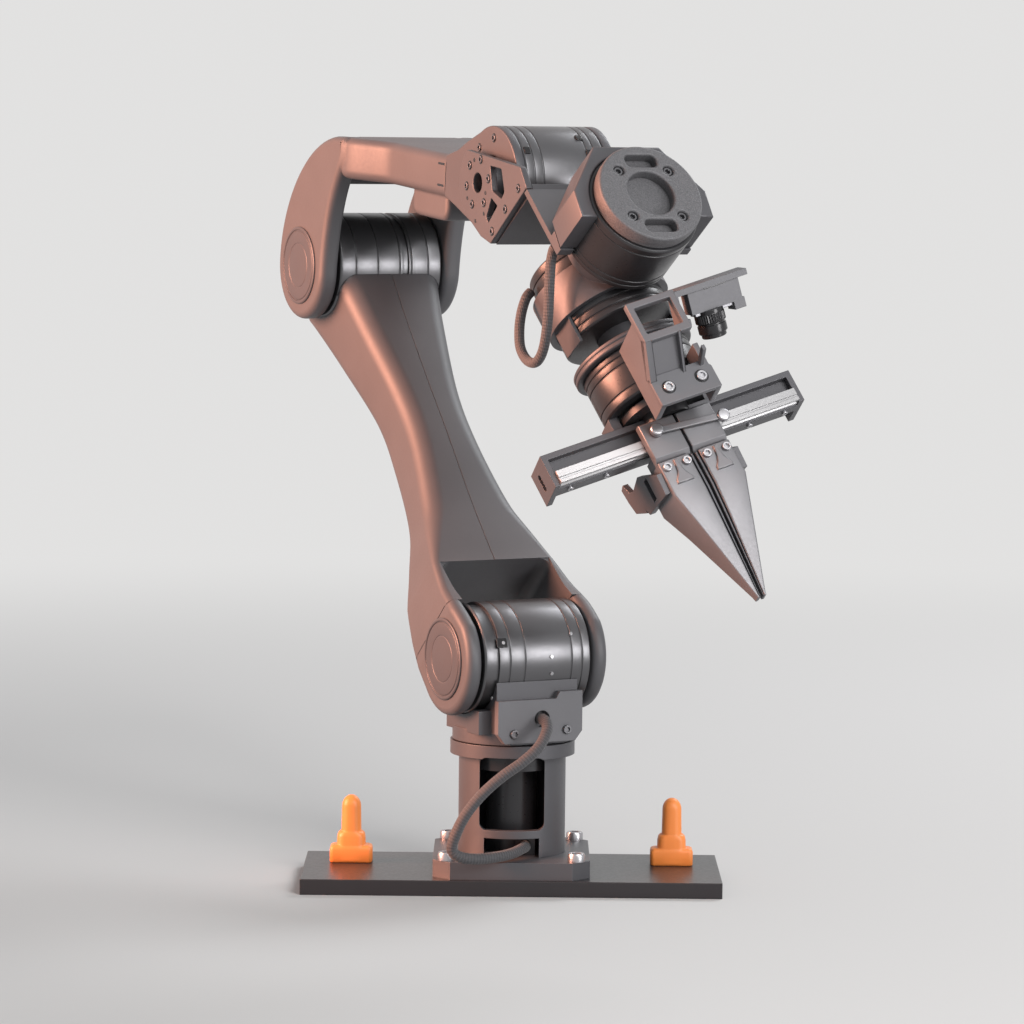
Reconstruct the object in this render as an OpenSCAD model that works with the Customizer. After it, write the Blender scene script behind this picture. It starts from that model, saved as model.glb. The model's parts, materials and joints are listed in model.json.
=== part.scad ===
// Desktop six-axis robot arm with a rail gripper, standing on its base plate.
// Origin: centre of the base plate's underside, on the base yaw axis. +Z is up.

/* [Rest pose] */
// Heading of the arm, from +X, in degrees
heading = -63; // [-120:1:0]
// Backward lean of the upper arm from upright, in degrees
upper_lean = 42.5; // [30:0.5:55]
// Downward slope of the forearm beam, in degrees
forearm_slope = 5; // [0:1:12]
// Angle of the gripper side of the wrist below the forearm beam, in degrees
wrist_drop = 50; // [40:1:60]
// Sideways swing of the gripper, in degrees
wrist_swing = 12; // [0:1:20]
// Roll of the gripper, in degrees
wrist_turn = 12; // [0:1:20]

/* [Base] */
// Length of the base plate
plate_l = 214; // [200:1:240]
// Depth of the base plate
plate_d = 84; // [84:1:110]
// Thickness of the base plate
plate_t = 8; // [6:0.5:12]
// Width of the square base flange
flange_w = 80; // [76:1:84]
// Thickness of the base flange
flange_t = 9; // [7:0.5:12]
// Spacing of the four base screws
screw_pitch = 66; // [62:1:68]
// Clearance hole for a base screw
screw_hole = 5.5; // [4.5:0.1:6]
// Outside diameter of the pedestal
pedestal_d = 55; // [52:1:60]
// Height of the pedestal above its flange
pedestal_h = 58; // [54:1:64]
// Wall of the pedestal
pedestal_wall = 4.5; // [3:0.5:6]
// Width of the pedestal's front window
window_w = 33; // [26:1:36]
// Height of the pedestal's front window
window_h = 38; // [30:1:42]
// Distance of each post from the middle of the plate
post_x = 83; // [70:1:95]
// Height of a post
post_h = 35; // [30:1:45]

/* [Arm] */
// Diameter of the joint motors
motor_d = 57; // [55:0.5:59]
// Height of the shoulder axis above the pedestal
shoulder_rise = 43; // [42:0.5:48]
// Distance from the shoulder axis to the elbow axis
upper_l = 264; // [240:1:290]
// Half width over the shoulder and elbow cheeks
cheek_y = 41; // [40:0.5:44]
// Thickness of a cheek
cheek_t = 9.5; // [8:0.5:10]
// Distance from the elbow axis forward to the wrist pitch axis
forearm_l = 199; // [185:1:220]
// Rise of the wrist pitch axis above the elbow axis
forearm_rise = 65; // [63:0.5:68]
// Half width of the forearm beam
beam_y = 28; // [26:0.5:30]
// Depth of the forearm beam
beam_h = 22; // [20:0.5:26]

/* [Wrist] */
// Half width over the wrist pitch plates
pitch_y = 36; // [35:0.5:38]
// Thickness of a wrist pitch plate
pitch_t = 3.4; // [2.5:0.1:3.6]
// Distance from the pitch axis to the yaw axis
yaw_out = 68; // [66:0.5:74]
// Distance of the roll axis along the yaw axis from the pitch axis
roll_up = 17; // [15:0.5:19]
// Diameter of the cap over the yaw motor
cap_d = 54; // [50:1:58]
// Width over the wings of the yaw collar
collar_w = 72; // [68:1:74]

/* [Gripper] */
// Length of the gripper's rail frame
rail_l = 139; // [134:1:150]
// Distance from the yaw axis to the rail frame
rail_out = 82; // [82:0.5:90]
// Width of the rail frame along the gripper axis
rail_w = 17.5; // [17:0.5:20]
// Length of a finger beyond the rail frame
finger_l = 87; // [75:1:95]
// Gap between the closed fingers
finger_gap = 1.4; // [1:0.1:4]

/* [Hidden] */
$fn = 64;
eps = 0.02;
far = 200;
fit = 0.4;
motor_r = motor_d / 2;

// Stack of heights
flange_z = plate_t;
pedestal_z = flange_z + flange_t;
rim_z = pedestal_z + pedestal_h;
shoulder_z = rim_z + shoulder_rise;

// Base details
plate_edge = 0.8;
flange_corner = 9;
rim_r = pedestal_d / 2 + 4.5;
rim_t = 7;
window_z = 14;
window_r = 3.5;
port_w = 28;
port_h = 10;
drive_r = 13;
drive_drop = 3;
drive_disc = [14, 8];
plug_x = [2, 12];
plug_out = 16;
pin_r = drive_r - 4;
post_y = 12.6;
post_depth = 12;
post_foot = [22, 9];
post_step = [15, 16];
post_top = 10.5;
cap_t = 1;
saddle_x = 27;
saddle_t = 4;
saddle_half = 24;
saddle_low = -41;
saddle_mid = -19;
saddle_high = -15.5;
saddle_ear = [13, 15];
saddle_cut = [4, 5];
saddle_eye = [1, -29];
saddle_eye_gap = 3;
turret_t = 7;
turret_x = 24;
turret_y = 23;
turret_drop = 10;
bracket_x = [16, 21];
bracket_y = 30;
bracket_z = [25, 37];

// Running clearances
run_gap = 0.5;
turn_gap = 1.3;

// Barrels and stub shafts
barrel_y = cheek_y - cheek_t - turn_gap;
stub_r = 12;
stub_l = 6;
medal_r = 21;
medal_rim = 2;
cheek_r = 29;
elbow_y = cheek_y + 2;

// Upper arm shell: stations up from the shoulder axis, at the waist, and down from the elbow axis.
// The waist's stations are drawn for an arm of shell_l.
shell_low = [14, 45, 68];
shell_waist = [95, 134];
shell_high = [97, 53, 24, 12];
shell_l = 264;
shell_a = concat(shell_low, [for (a = shell_waist) a * upper_l / shell_l], [for (d = shell_high) upper_l - d]);
// Half width, front and rear faces at the stations
shell_w = [40, 36, 31, 24.6, 19.4, 19.6, 25.4, 29.8, 30.2];
shell_f = [22, 16, 14.5, 14, 15, 15, 16, 18, 18];
shell_b = [30, 30, 25, 22, 24.5, 24, 29, 33, 37];
shell_corner = 10;
shell_steps = 4;
fork_a = 50;

// Wrist details
lobe_r = motor_r;
lobe_t = 5;
lobe_y = beam_y;
lobe_reach = 53;
lobe_neck = [15, 13];
lobe_ear = [40, 16];
hub_r = 13;
hub_seat = 2.4;
bore_r = 5;

// Wrist pitch plate about its axis: x towards the gripper, y towards the cap
plate_hub_r = 20.5;
plate_out = 33;
plate_lo = -5;
plate_hi = 43;
plate_toe = [24, -12];
plate_flank = 15;
plate_slant = 46.6;
upper_window = [11, 12];
upper_window_at = [9.5, 17];
lower_window = [5.5, 13];
lower_window_at = [19, 4];
lower_window_turn = -10;
window_corner = 2.2;

// Cross plate, its sloping bridge and the clamp around the yaw motor
cross_t = 3;
cross_proud = 0.6;
bridge_out = 77;
bridge_hi = 55;
bridge_t = 3.4;
bridge_pad = 11;
motor_gap = 1.5;
collar_lo = 56;
collar_hi = 83.5;
collar_front = 8;
collar_side = 7;
collar_rear = 32.5;
collar_heel = 18;
cap_hi = 92;
cap_eye_r = 12.3;
cap_slot = [7, 17];
cap_slot_at = 18.5;
cap_floor = 2.5;
yaw_lo = 50;

// Roll motor and its yoke
roll_back = -10;
roll_front = 33;
yoke_r = motor_r + 3.5;
yoke_lo = 2;
yoke_hi = 22;
yoke_head_r = 24;
yoke_ear = [36, 8, 16];
yoke_ear_y = 25;

// Gripper details, along the gripper axis from the yaw axis
disc_lo = 45;
disc_hi = 50;
disc_r = 31;
grip_r = 28;
grip_hi = rail_out - 7;
crank_r = 22;
crank_hub_r = 9;
crank_boss_r = 13;
crank_gap = 1.5;
frame_hi = 4;
frame_lo = -17;
frame_t = 3;
frame_step = 3.5;
frame_slot = [9, 3.4];
ear_y = 25.5;
ear_t = 5;
ear_lo = -12;
ear_hi = 2;
steel_w = 6.5;
steel_h = 6;
steel_lo = frame_hi - 4;
block_w = 19;
block_gap = 0.4;
block_back = 1.5;
block_lo = steel_lo + steel_h + block_gap;
block_hi = block_lo + 5;
block_tongue = 6;
finger_w = 19;
finger_knee = 0.45;
finger_knee_w = 14;
finger_tip_w = 1.6;
finger_root = rail_out + rail_w + 3;
finger_heel = finger_root + block_tongue;
finger_tip = rail_out + rail_w + finger_l;
finger_back = -13;

// Clip on a finger's outer side: a slotted head and a hooked tail, x along the gripper axis
clip_t = 3;
clip_head = [[105, -25], [121, -18], [124, 9], [113, 10], [103, -11]];
clip_tail = [[106, -20], [103, -28], [97, -31], [98, -35], [106, -34], [113, -32], [119, -20]];
clip_slot = [12, 4.5];
clip_slot_at = [114, -4.5];

// Camera: the top edge of its back plate, its tilt, and sizes along its own axis
camera_at = [45, 10, 55];
camera_tilt = 34;
camera_w = 40;
camera_h = 9;
camera_back_t = 3;
camera_wall = 1.5;
camera_l = 18;
camera_tab = [5, 3];
camera_box = [7, 35];
camera_box_l = 14;
lens_r = 7.5;
lens_at = [18, -6];
lens_lo = 14;
lens_hi = 28;
loop_x = [43, 65];
loop_y = [-16, 10];
loop_z = [51, 55];
loop_bar = 5;
screw_plate_x = [76, 92];
screw_plate_y = [-16, 17];
screw_plate_z = [36, 39];
bracket_wall = 3;
bracket_foot = 20;
bracket_wall_x = 52;

// Cords: diameters and the points that they pass, in their own frames
base_cable_d = 5.6;
base_cable_route = [
    [13.2, -23.9, 89], [15, -28, 89], [17, -34, 88], [17, -40, 84], [13, -46, 77], [5, -50, 70],
    [-5, -52, 63], [-15, -53, 54], [-23, -54, 44], [-28, -54, 34], [-30, -53, 26], [-26, -52, 22],
    [-18, -49, 20.5], [-8, -43, 20.5], [0, -35, 21], [5, -27, 22], [7, -20, 22], [7, -16.4, 22]
];
wrist_cable_d = 5;
wrist_cable_route = [
    [70, -33.2, 48.2], [70.8, -33.6, 45.5], [76, -34.5, 41], [87, -35, 33], [98, -35.5, 25], [107, -36, 15],
    [109, -36.5, 6], [104, -37, -1], [95, -37, -4], [86, -36, -2], [79, -35, 3], [73, -32.5, 7],
    [70, -29.4, 8]
];

// Frames, each carried by the one before
module at_arm() { rotate([0, 0, heading]) children(); }
module at_shoulder() { at_arm() translate([0, 0, shoulder_z]) children(); }
module at_upper() { at_shoulder() rotate([0, -upper_lean, 0]) children(); }
module at_elbow() {
    at_upper() translate([0, 0, upper_l]) rotate([0, upper_lean + forearm_slope, 0]) children();
}
module at_pitch() {
    at_elbow() translate([forearm_l, 0, forearm_rise]) rotate([0, wrist_drop, 0]) children();
}
module at_yaw() { at_pitch() translate([yaw_out, 0, roll_up]) rotate([0, 0, wrist_swing]) children(); }
module at_roll() { at_yaw() rotate([wrist_turn, 0, 0]) children(); }

// A cylinder along +Y from y0 to y1
module along_y(r, y0, y1) { translate([0, y0, 0]) rotate([-90, 0, 0]) cylinder(r = r, h = y1 - y0); }
// A cylinder along +X from x0 to x1
module along_x(r, x0, x1) { translate([x0, 0, 0]) rotate([0, 90, 0]) cylinder(r = r, h = x1 - x0); }
// An outline in the XZ plane carried along +Y from y0 to y1
module side_plate(y0, y1) {
    translate([0, y1, 0]) rotate([90, 0, 0]) linear_extrude(y1 - y0) children();
}
// A box between two corners
module block(a, b) { translate(a) cube(b - a); }
// A rectangle with round corners, centred
module round_rect(w, h, r) {
    union() {
        square([w - 2 * r, h], center = true);
        square([w, h - 2 * r], center = true);
        for (x = [-1, 1], y = [-1, 1]) translate([x * (w / 2 - r), y * (h / 2 - r)]) circle(r);
    }
}

// Points on a cubic curve
function bezier(p, n) = [for (i = [0 : n]) let (t = i / n, s = 1 - t)
    s * s * s * p[0] + 3 * s * s * t * p[1] + 3 * s * t * t * p[2] + t * t * t * p[3]];

// A tube of diameter d along a smooth curve through points p
function unit(v) = v / norm(v);
function spline(p, k) = [for (i = [0 : len(p) - 2], j = [0 : k - 1])
    let (a = p[max(i - 1, 0)], b = p[i], c = p[i + 1], e = p[min(i + 2, len(p) - 1)], t = j / k)
    0.5 * (2 * b + (c - a) * t + (2 * a - 5 * b + 4 * c - e) * t * t
        + (3 * b - a - 3 * c + e) * t * t * t)];
module cord(route, d) {
    sides = 10;
    path = concat(spline(route, 3), [route[len(route) - 1]]);
    last = len(path) - 1;
    rings = [for (i = [0 : last])
        let (t = unit(path[min(i + 1, last)] - path[max(i - 1, 0)]),
            n = unit(cross(t, [0.31, 0.17, 0.93])), b = cross(t, n))
        for (j = [0 : sides - 1]) let (q = 360 * j / sides) path[i] + d / 2 * (cos(q) * n + sin(q) * b)];
    polyhedron(rings, skin(last, sides));
}
// Faces of a closed skin over rings of m points, each ring clockwise seen from the next one
function skin(last, m) = concat(
    [for (i = [0 : last - 1], j = [0 : m - 1]) let (k = (j + 1) % m)
        each [[i * m + j, (i + 1) * m + k, (i + 1) * m + j], [i * m + j, i * m + k, (i + 1) * m + k]]],
    [[for (j = [m - 1 : -1 : 0]) j], [for (j = [0 : m - 1]) last * m + j]]);

// Base

module base_plate() {
    color("#2a2b2e")
        difference() {
            translate([0, 0, plate_t / 2]) cube([plate_l, plate_d, plate_t], center = true);
            screw_holes(-1, plate_t + 1);
        }
}

module screw_holes(z0, z1) {
    for (x = [-1, 1], y = [-1, 1])
        translate([x * screw_pitch / 2, y * screw_pitch / 2, z0]) cylinder(d = screw_hole, h = z1 - z0);
}

// A moulded post: wide foot, narrower step and a round-topped upright
module post(x) {
    translate([x, post_y + post_depth / 2, plate_t]) rotate([90, 0, 0])
        linear_extrude(post_depth) {
            translate([-post_foot.x / 2, 0]) square(post_foot);
            translate([-post_step.x / 2, 0]) square(post_step);
            translate([-post_top / 2, 0]) square([post_top, post_h - post_top / 2]);
            translate([0, post_h - post_top / 2]) circle(d = post_top);
        }
}
module left_post() { color("#e06a2a") post(-post_x); }
module right_post() { color("#e06a2a") post(post_x); }

module base_flange() {
    half = flange_w / 2;
    cut = half - flange_corner;
    color("#3a3b40")
        difference() {
            translate([0, 0, flange_z]) linear_extrude(flange_t)
                polygon([[half, -cut], [half, cut], [cut, half], [-cut, half],
                    [-half, cut], [-half, -cut], [-cut, -half], [cut, -half]]);
            screw_holes(flange_z - 1, pedestal_z + 1);
        }
}

// Hollow column with a front window, a cable port and a wider rim
module pedestal() {
    outer = pedestal_d / 2;
    color("#34353a")
        difference() {
            union() {
                translate([0, 0, pedestal_z]) cylinder(r = outer, h = pedestal_h);
                translate([0, 0, rim_z - rim_t]) cylinder(r = rim_r, h = rim_t);
            }
            translate([0, 0, pedestal_z - 1]) cylinder(r = outer - pedestal_wall, h = pedestal_h + 2);
            translate([0, 0, pedestal_z + window_z + window_h / 2]) rotate([90, 0, 0])
                linear_extrude(pedestal_d) round_rect(window_w, window_h, window_r);
            block([-port_w / 2, -pedestal_d, pedestal_z], [port_w / 2, 0, pedestal_z + port_h]);
        }
}

module yaw_drive() {
    color("#1d1d20")
        difference() {
            union() {
                translate([0, 0, pedestal_z]) cylinder(r = drive_r, h = pedestal_h - drive_drop);
                translate([0, 0, rim_z - drive_disc[0]])
                    cylinder(r = pedestal_d / 2 - pedestal_wall - eps, h = drive_disc[1]);
                block([plug_x[0], -plug_out, pedestal_z], [plug_x[1], 0, pedestal_z + port_h]);
            }
            translate([0, 0, rim_z - drive_drop - stub_l - fit]) cylinder(r = pin_r, h = stub_l + 1);
        }
}

module base_cable() { color("#202124") cord(base_cable_route, base_cable_d); }

// Turret

module turret() {
    cradle = motor_r + 0.05;
    disc_z = rim_z + run_gap;
    color("#36373c") at_arm()
        difference() {
            union() {
                translate([0, 0, disc_z]) cylinder(r = rim_r - 1, h = turret_t);
                translate([0, 0, rim_z - drive_drop - stub_l])
                    cylinder(r = pin_r - fit, h = stub_l + turret_t);
                block([-turret_x, -turret_y, disc_z + turret_t - 1],
                    [saddle_x, turret_y, shoulder_z - turret_drop]);
                block([-bracket_x[0], -bracket_y, shoulder_z - bracket_z[1]],
                    [bracket_x[1], -turret_y + 1, shoulder_z - bracket_z[0]]);
            }
            translate([0, 0, shoulder_z]) along_y(cradle, -cheek_y, cheek_y);
            block([saddle_x, -far, disc_z - 1], [far, far, shoulder_z]);
        }
}

// Front plate of the saddle with the cable's hole
module saddle_plate() {
    half = saddle_half;
    color("#4a4b51") at_shoulder() translate([saddle_x, 0, 0])
        rotate([90, 0, 90])
            difference() {
                linear_extrude(saddle_t)
                    polygon([[saddle_cut.x - half, saddle_low], [half - saddle_cut.x, saddle_low],
                        [half, saddle_low + saddle_cut.y], [half, saddle_high],
                        [half - saddle_ear[0], saddle_high], [half - saddle_ear[1], saddle_mid],
                        [-half, saddle_mid], [-half, saddle_low + saddle_cut.y]]);
                translate([saddle_eye.x, saddle_eye.y, -1])
                    cylinder(d = base_cable_d + saddle_eye_gap, h = saddle_t + 2);
            }
}

module joint_motor(half_y) {
    difference() {
        along_y(motor_r, -half_y, half_y);
        for (y = [-1, 1]) rotate([0, 0, y > 0 ? 0 : 180])
            along_y(stub_r + fit, half_y - stub_l - fit, half_y + 1);
    }
}
module shoulder_motor() { color("#1c1c1f") at_shoulder() joint_motor(barrel_y); }

// Upper arm

// A section of the shell: a rectangle with round corners, b deep behind and f in front
function shell_ring(w, f, b, a) = let (r = min(shell_corner, w - 1, (f + b) / 2 - 1), n = shell_steps)
    [for (c = [[w - r, f - r, 0], [-(w - r), f - r, 90], [-(w - r), -(b - r), 180], [w - r, -(b - r), 270]],
        i = [0 : n]) let (q = c[2] + 90 * i / n) [c[1] + r * sin(q), c[0] + r * cos(q), a]];

module shell_loft() {
    rings = [for (i = [0 : len(shell_a) - 1])
        each shell_ring(shell_w[i], shell_f[i], shell_b[i], shell_a[i])];
    polyhedron(rings, skin(len(shell_a) - 1, 4 * (shell_steps + 1)));
}

module upper_arm_shell() {
    inner = cheek_y - cheek_t;
    color("#3c3d43") at_upper()
        difference() {
            union() {
                shell_loft();
                for (s = [-1, 1]) rotate([0, 0, s > 0 ? 0 : 180]) {
                    along_y(cheek_r, inner, cheek_y - cap_t);
                    along_y(stub_r, barrel_y - stub_l, inner + 1);
                }
            }
            difference() {
                block([-far, -inner, -far], [far, inner, fork_a]);
                for (s = [-1, 1]) rotate([0, 0, s > 0 ? 0 : 180]) along_y(stub_r, barrel_y - stub_l - 1, far);
            }
            translate([0, 0, upper_l]) along_y(motor_r, -far, far);
        }
}

// A round cover with a groove near its rim, its outer face at y
module medallion(side, y) {
    rotate([0, 0, side > 0 ? 0 : 180])
        difference() {
            along_y(medal_r, y - cap_t, y);
            difference() {
                along_y(medal_r - medal_rim, y - cap_t / 2, y + 1);
                along_y(medal_r - 1.5 * medal_rim, y - cap_t, y + 2);
            }
        }
}
module left_shoulder_cap() { color("#4a4b51") at_upper() medallion(-1, cheek_y); }
module right_shoulder_cap() { color("#4a4b51") at_upper() medallion(1, cheek_y); }
module elbow_motor() { color("#1c1c1f") at_upper() translate([0, 0, upper_l]) joint_motor(barrel_y); }

// Forearm

// Side outline of the yoke and beam, about the elbow axis
beam_top = forearm_rise - 2 + beam_h / 2;
beam_low = beam_top - beam_h;
yoke_front = 57;
beam_end = forearm_l - lobe_reach;
pod_l = 42;
pod_h = 13;
pod_y = 24;
pod_corner = 7;
function yoke_rear_edge() = bezier([[-cheek_r, 0], [-cheek_r, 34], [2, beam_top - 3], [42, beam_top]], 14);
function yoke_front_edge() = bezier([[yoke_front, beam_top - 4], [42, beam_low], [31, 36], [cheek_r, 0]], 12);
module yoke_side() {
    union() {
        circle(cheek_r);
        polygon(concat(yoke_rear_edge(), [[yoke_front, beam_top]], yoke_front_edge()));
    }
}
module elbow_cheek(side) {
    inner = cheek_y - cheek_t;
    at_elbow() rotate([0, 0, side > 0 ? 0 : 180]) mirror([side > 0 ? 0 : 1, 0, 0])
        union() {
            intersection() {
                side_plate(inner, elbow_y - cap_t) yoke_side();
                block([-far, 0, -far], [far, far, beam_low]);
            }
            along_y(stub_r, barrel_y - stub_l, inner + 1);
        }
}
module left_elbow_cheek() { color("#3c3d43") elbow_cheek(-1); }
module right_elbow_cheek() { color("#3c3d43") elbow_cheek(1); }
module left_elbow_cap() { color("#4a4b51") at_elbow() medallion(-1, elbow_y); }
module right_elbow_cap() { color("#4a4b51") at_elbow() medallion(1, elbow_y); }

// Plan outline of the beam: full width at the yoke, drawn in to the beam by a curve
function beam_plan(side) = let (wide = side * (elbow_y - cap_t), slim = side * beam_y) concat(
    [[-cheek_r - 1, wide]],
    bezier([[yoke_front - 10, wide], [yoke_front + 6, wide], [yoke_front, slim], [yoke_front + 22, slim]], 10),
    [[beam_end, slim]]);
module beam_side() {
    polygon(concat(yoke_rear_edge(), [[beam_end, beam_top], [beam_end, 0]]));
}
module forearm_beam() {
    left = beam_plan(-1);
    right = beam_plan(1);
    color("#3c3d43") at_elbow()
        union() {
            intersection() {
                translate([0, 0, beam_low])
                    linear_extrude(beam_h)
                        polygon(concat(left, [for (i = [len(right) - 1 : -1 : 0]) right[i]]));
                side_plate(-far, far) beam_side();
            }
            side_plate(-pod_y, pod_y)
                translate([beam_end - 4 - pod_l / 2, beam_low]) round_rect(pod_l, 2 * pod_h, pod_corner);
        }
}

// End plate that holds the pitch motor: a round lobe with a tab on the beam's side
module wrist_lobe(side) {
    at_elbow() rotate([0, 0, side > 0 ? 0 : 180]) mirror([side > 0 ? 0 : 1, 0, 0])
        difference() {
            side_plate(lobe_y - lobe_t, lobe_y)
                translate([forearm_l, forearm_rise])
                    union() {
                        circle(lobe_r);
                        polygon([[-lobe_reach, beam_low + 1 - forearm_rise], [-lobe_ear.x, -lobe_ear.y],
                            [-lobe_neck.x, -lobe_r + 4], [0, 0], [-lobe_neck.x, lobe_r - 4],
                            [-2 * lobe_neck.x, lobe_neck.y + 5], [-lobe_ear.x, lobe_neck.y],
                            [-lobe_reach, beam_top - forearm_rise]]);
                    }
            translate([forearm_l, 0, forearm_rise]) along_y(hub_r + fit, 0, far);
        }
}
module left_wrist_lobe() { color("#43444a") wrist_lobe(-1); }
module right_wrist_lobe() { color("#43444a") wrist_lobe(1); }
module pitch_motor() {
    half = lobe_y - lobe_t;
    color("#1c1c1f") at_elbow() translate([forearm_l, 0, forearm_rise])
        difference() {
            along_y(motor_r, -half, half);
            for (s = [0, 180]) rotate([0, 0, s]) along_y(hub_r + fit, half - 3, half + 1);
        }
}

// Wrist pitch link

// Side plate: a round hub end, a slanting flank and a straight edge towards the gripper
module pitch_outline() {
    difference() {
        union() {
            circle(plate_hub_r);
            polygon([[-plate_hub_r, 0], [plate_hub_r / 4, -plate_hub_r + 0.6], plate_toe,
                [plate_out, plate_lo], [plate_out, plate_hi], [plate_lo, plate_hi]]);
        }
        rotate(plate_slant) translate([-2 * plate_hi, plate_flank]) square(4 * plate_hi);
        translate(upper_window_at) rotate(plate_slant)
            round_rect(upper_window.x, upper_window.y, window_corner);
        translate(lower_window_at) rotate(lower_window_turn)
            round_rect(lower_window.x, lower_window.y, window_corner);
    }
}
module pitch_plate(side) {
    at_pitch() rotate([0, 0, side > 0 ? 0 : 180]) mirror([side > 0 ? 0 : 1, 0, 0])
        difference() {
            union() {
                side_plate(pitch_y - pitch_t, pitch_y) pitch_outline();
                along_y(hub_r, lobe_y - lobe_t - hub_seat, pitch_y);
            }
            along_y(bore_r, 0, 2 * pitch_y);
        }
}
module left_pitch_plate() { color("#43444a") pitch_plate(-1); }
module right_pitch_plate() { color("#43444a") pitch_plate(1); }

// Web between the side plates, and the sloping bridge that carries the collar
module cross_plate() {
    half = pitch_y - pitch_t;
    color("#4a4b51") at_pitch()
        difference() {
            union() {
                block([plate_out - cross_t, -half, plate_lo], [plate_out + cross_proud, half, plate_hi]);
                side_plate(-pitch_y, pitch_y)
                    polygon([[plate_out, plate_hi], [bridge_out, bridge_hi],
                        [bridge_out, bridge_hi - bridge_t],
                        [plate_out, plate_hi - bridge_t]]);
                block([bridge_out - bridge_pad, -pitch_y, bridge_hi - bridge_t],
                    [bridge_out, pitch_y, collar_lo]);
            }
            translate([yaw_out, 0, 0]) cylinder(r = motor_r + motor_gap, h = 2 * collar_lo);
        }
}

// Clamp around the yaw motor: a wing on each side and a narrower heel behind
module yaw_collar() {
    half = collar_w / 2;
    color("#4a4b51") at_pitch() translate([yaw_out, 0, collar_lo])
        difference() {
            linear_extrude(collar_hi - collar_lo)
                polygon([[collar_front, -half], [collar_front, half], [-collar_side, half],
                    [-collar_rear, collar_heel], [-collar_rear, -collar_heel], [-collar_side, -half]]);
            translate([0, 0, -1]) cylinder(r = motor_r, h = collar_hi);
        }
}
module yaw_motor() {
    color("#1c1c1f") at_pitch() translate([yaw_out, 0, 0])
        difference() {
            translate([0, 0, yaw_lo]) cylinder(r = motor_r, h = collar_hi - yaw_lo);
            translate([0, 0, yaw_lo - 1]) cylinder(r = stub_r + fit, h = stub_l + 1 + fit);
        }
}
// Textured cap with a centre hole and two slots
module yaw_cap() {
    color("#333438") at_pitch() translate([yaw_out, 0, collar_hi])
        difference() {
            cylinder(d = cap_d, h = cap_hi - collar_hi);
            translate([0, 0, cap_floor]) cylinder(r = cap_eye_r, h = cap_hi);
            for (s = [-1, 1]) translate([s * cap_slot_at, 0, cap_floor])
                linear_extrude(cap_hi) round_rect(cap_slot.x, cap_slot.y, cap_slot.x / 2 - 0.1);
        }
}

// Wrist yaw link

module roll_yoke() {
    top = yaw_lo - roll_up;
    color("#43444a") at_yaw()
        difference() {
            union() {
                along_x(yoke_r, yoke_lo, yoke_hi);
                translate([0, 0, motor_r - 4]) cylinder(r = yoke_head_r, h = top - motor_r + 4 - run_gap);
                translate([0, 0, motor_r]) cylinder(r = stub_r, h = top - motor_r + stub_l);
                for (s = [-1, 1]) translate([yoke_lo, s * yoke_ear_y, 0])
                    block([0, -yoke_ear.y / 2, -yoke_ear.z / 2],
                        [yoke_ear.x - yoke_lo, yoke_ear.y / 2, yoke_ear.z / 2]);
            }
            along_x(motor_r, -2 * motor_r, 2 * motor_r);
            block([yoke_hi, -yoke_r, -yoke_r], [2 * yoke_hi, yoke_r, -yoke_ear.z / 2]);
        }
}
module roll_motor() {
    color("#1c1c1f") at_yaw()
        difference() {
            along_x(motor_r, roll_back, roll_front);
            along_x(stub_r + fit, roll_front - stub_l - fit, roll_front + 1);
        }
}
module wrist_cable() { color("#202124") at_pitch() cord(wrist_cable_route, wrist_cable_d); }

// Gripper

module roll_flange() {
    color("#43444a") at_roll()
        union() {
            along_x(stub_r, roll_front - stub_l, disc_lo + 1);
            along_x(disc_r, disc_lo, disc_hi);
        }
}
module gripper_motor() { color("#1c1c1f") at_roll() along_x(grip_r, disc_hi, grip_hi); }

// Disc that drives both fingers, with a boss above the rail frame
module crank_disc() {
    color("#26272a") at_roll()
        union() {
            along_x(crank_hub_r, grip_hi, grip_hi + 3);
            along_x(crank_r, grip_hi + 2, rail_out - crank_gap);
            intersection() {
                along_x(crank_boss_r, rail_out - crank_gap - 1, rail_out + frame_t + 1);
                block([0, -crank_r, frame_hi + fit], [2 * rail_out, crank_r, crank_r]);
            }
        }
}

// Body that carries the rail, with a raised back edge and slotted end plates
module rail_frame() {
    half = rail_l / 2;
    hi = rail_out + rail_w;
    color("#55565c") at_roll()
        difference() {
            union() {
                block([rail_out, -half, frame_lo], [hi, half, steel_lo]);
                block([rail_out, -half, frame_lo], [rail_out + frame_t, half, frame_hi]);
                for (s = [-1, 1]) translate([0, s * (half - frame_t / 2), 0])
                    block([rail_out, -frame_t / 2, frame_lo], [hi, frame_t / 2, frame_hi]);
                for (s = [-1, 1]) translate([0, s * ear_y, 0])
                    block([grip_hi, -ear_t / 2, ear_lo], [rail_out + 1, ear_t / 2, ear_hi]);
            }
            block([hi - frame_step, -half + frame_t, frame_lo - 1], [hi + 1, half - frame_t, -2 * frame_t]);
            for (s = [-1, 1]) translate([rail_out + rail_w / 2, s * half, frame_lo / 2])
                rotate([90, 0, 0]) translate([0, 0, -frame_t / 2]) linear_extrude(frame_t)
                    round_rect(frame_slot.x, frame_slot.y, frame_slot.y / 2 - 0.1);
        }
}
module steel_rail() {
    half = rail_l / 2 - frame_t;
    hi = rail_out + rail_w - 0.5;
    color("#d5d6d8") at_roll() block([hi - steel_w, -half, steel_lo], [hi, half, steel_lo + steel_h]);
}

module carriage(side) {
    low = rail_out + frame_t + block_back;
    y0 = finger_gap / 2;
    at_roll() mirror([0, side > 0 ? 0 : 1, 0])
        union() {
            block([low, y0, block_lo], [finger_heel, y0 + block_w, block_hi]);
            block([finger_root - 1, y0 + 2, -block_tongue], [finger_heel, y0 + block_w - 2, block_lo + 1]);
        }
}
module left_carriage() { color("#6a6b70") carriage(-1); }
module right_carriage() { color("#6a6b70") carriage(1); }

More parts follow.
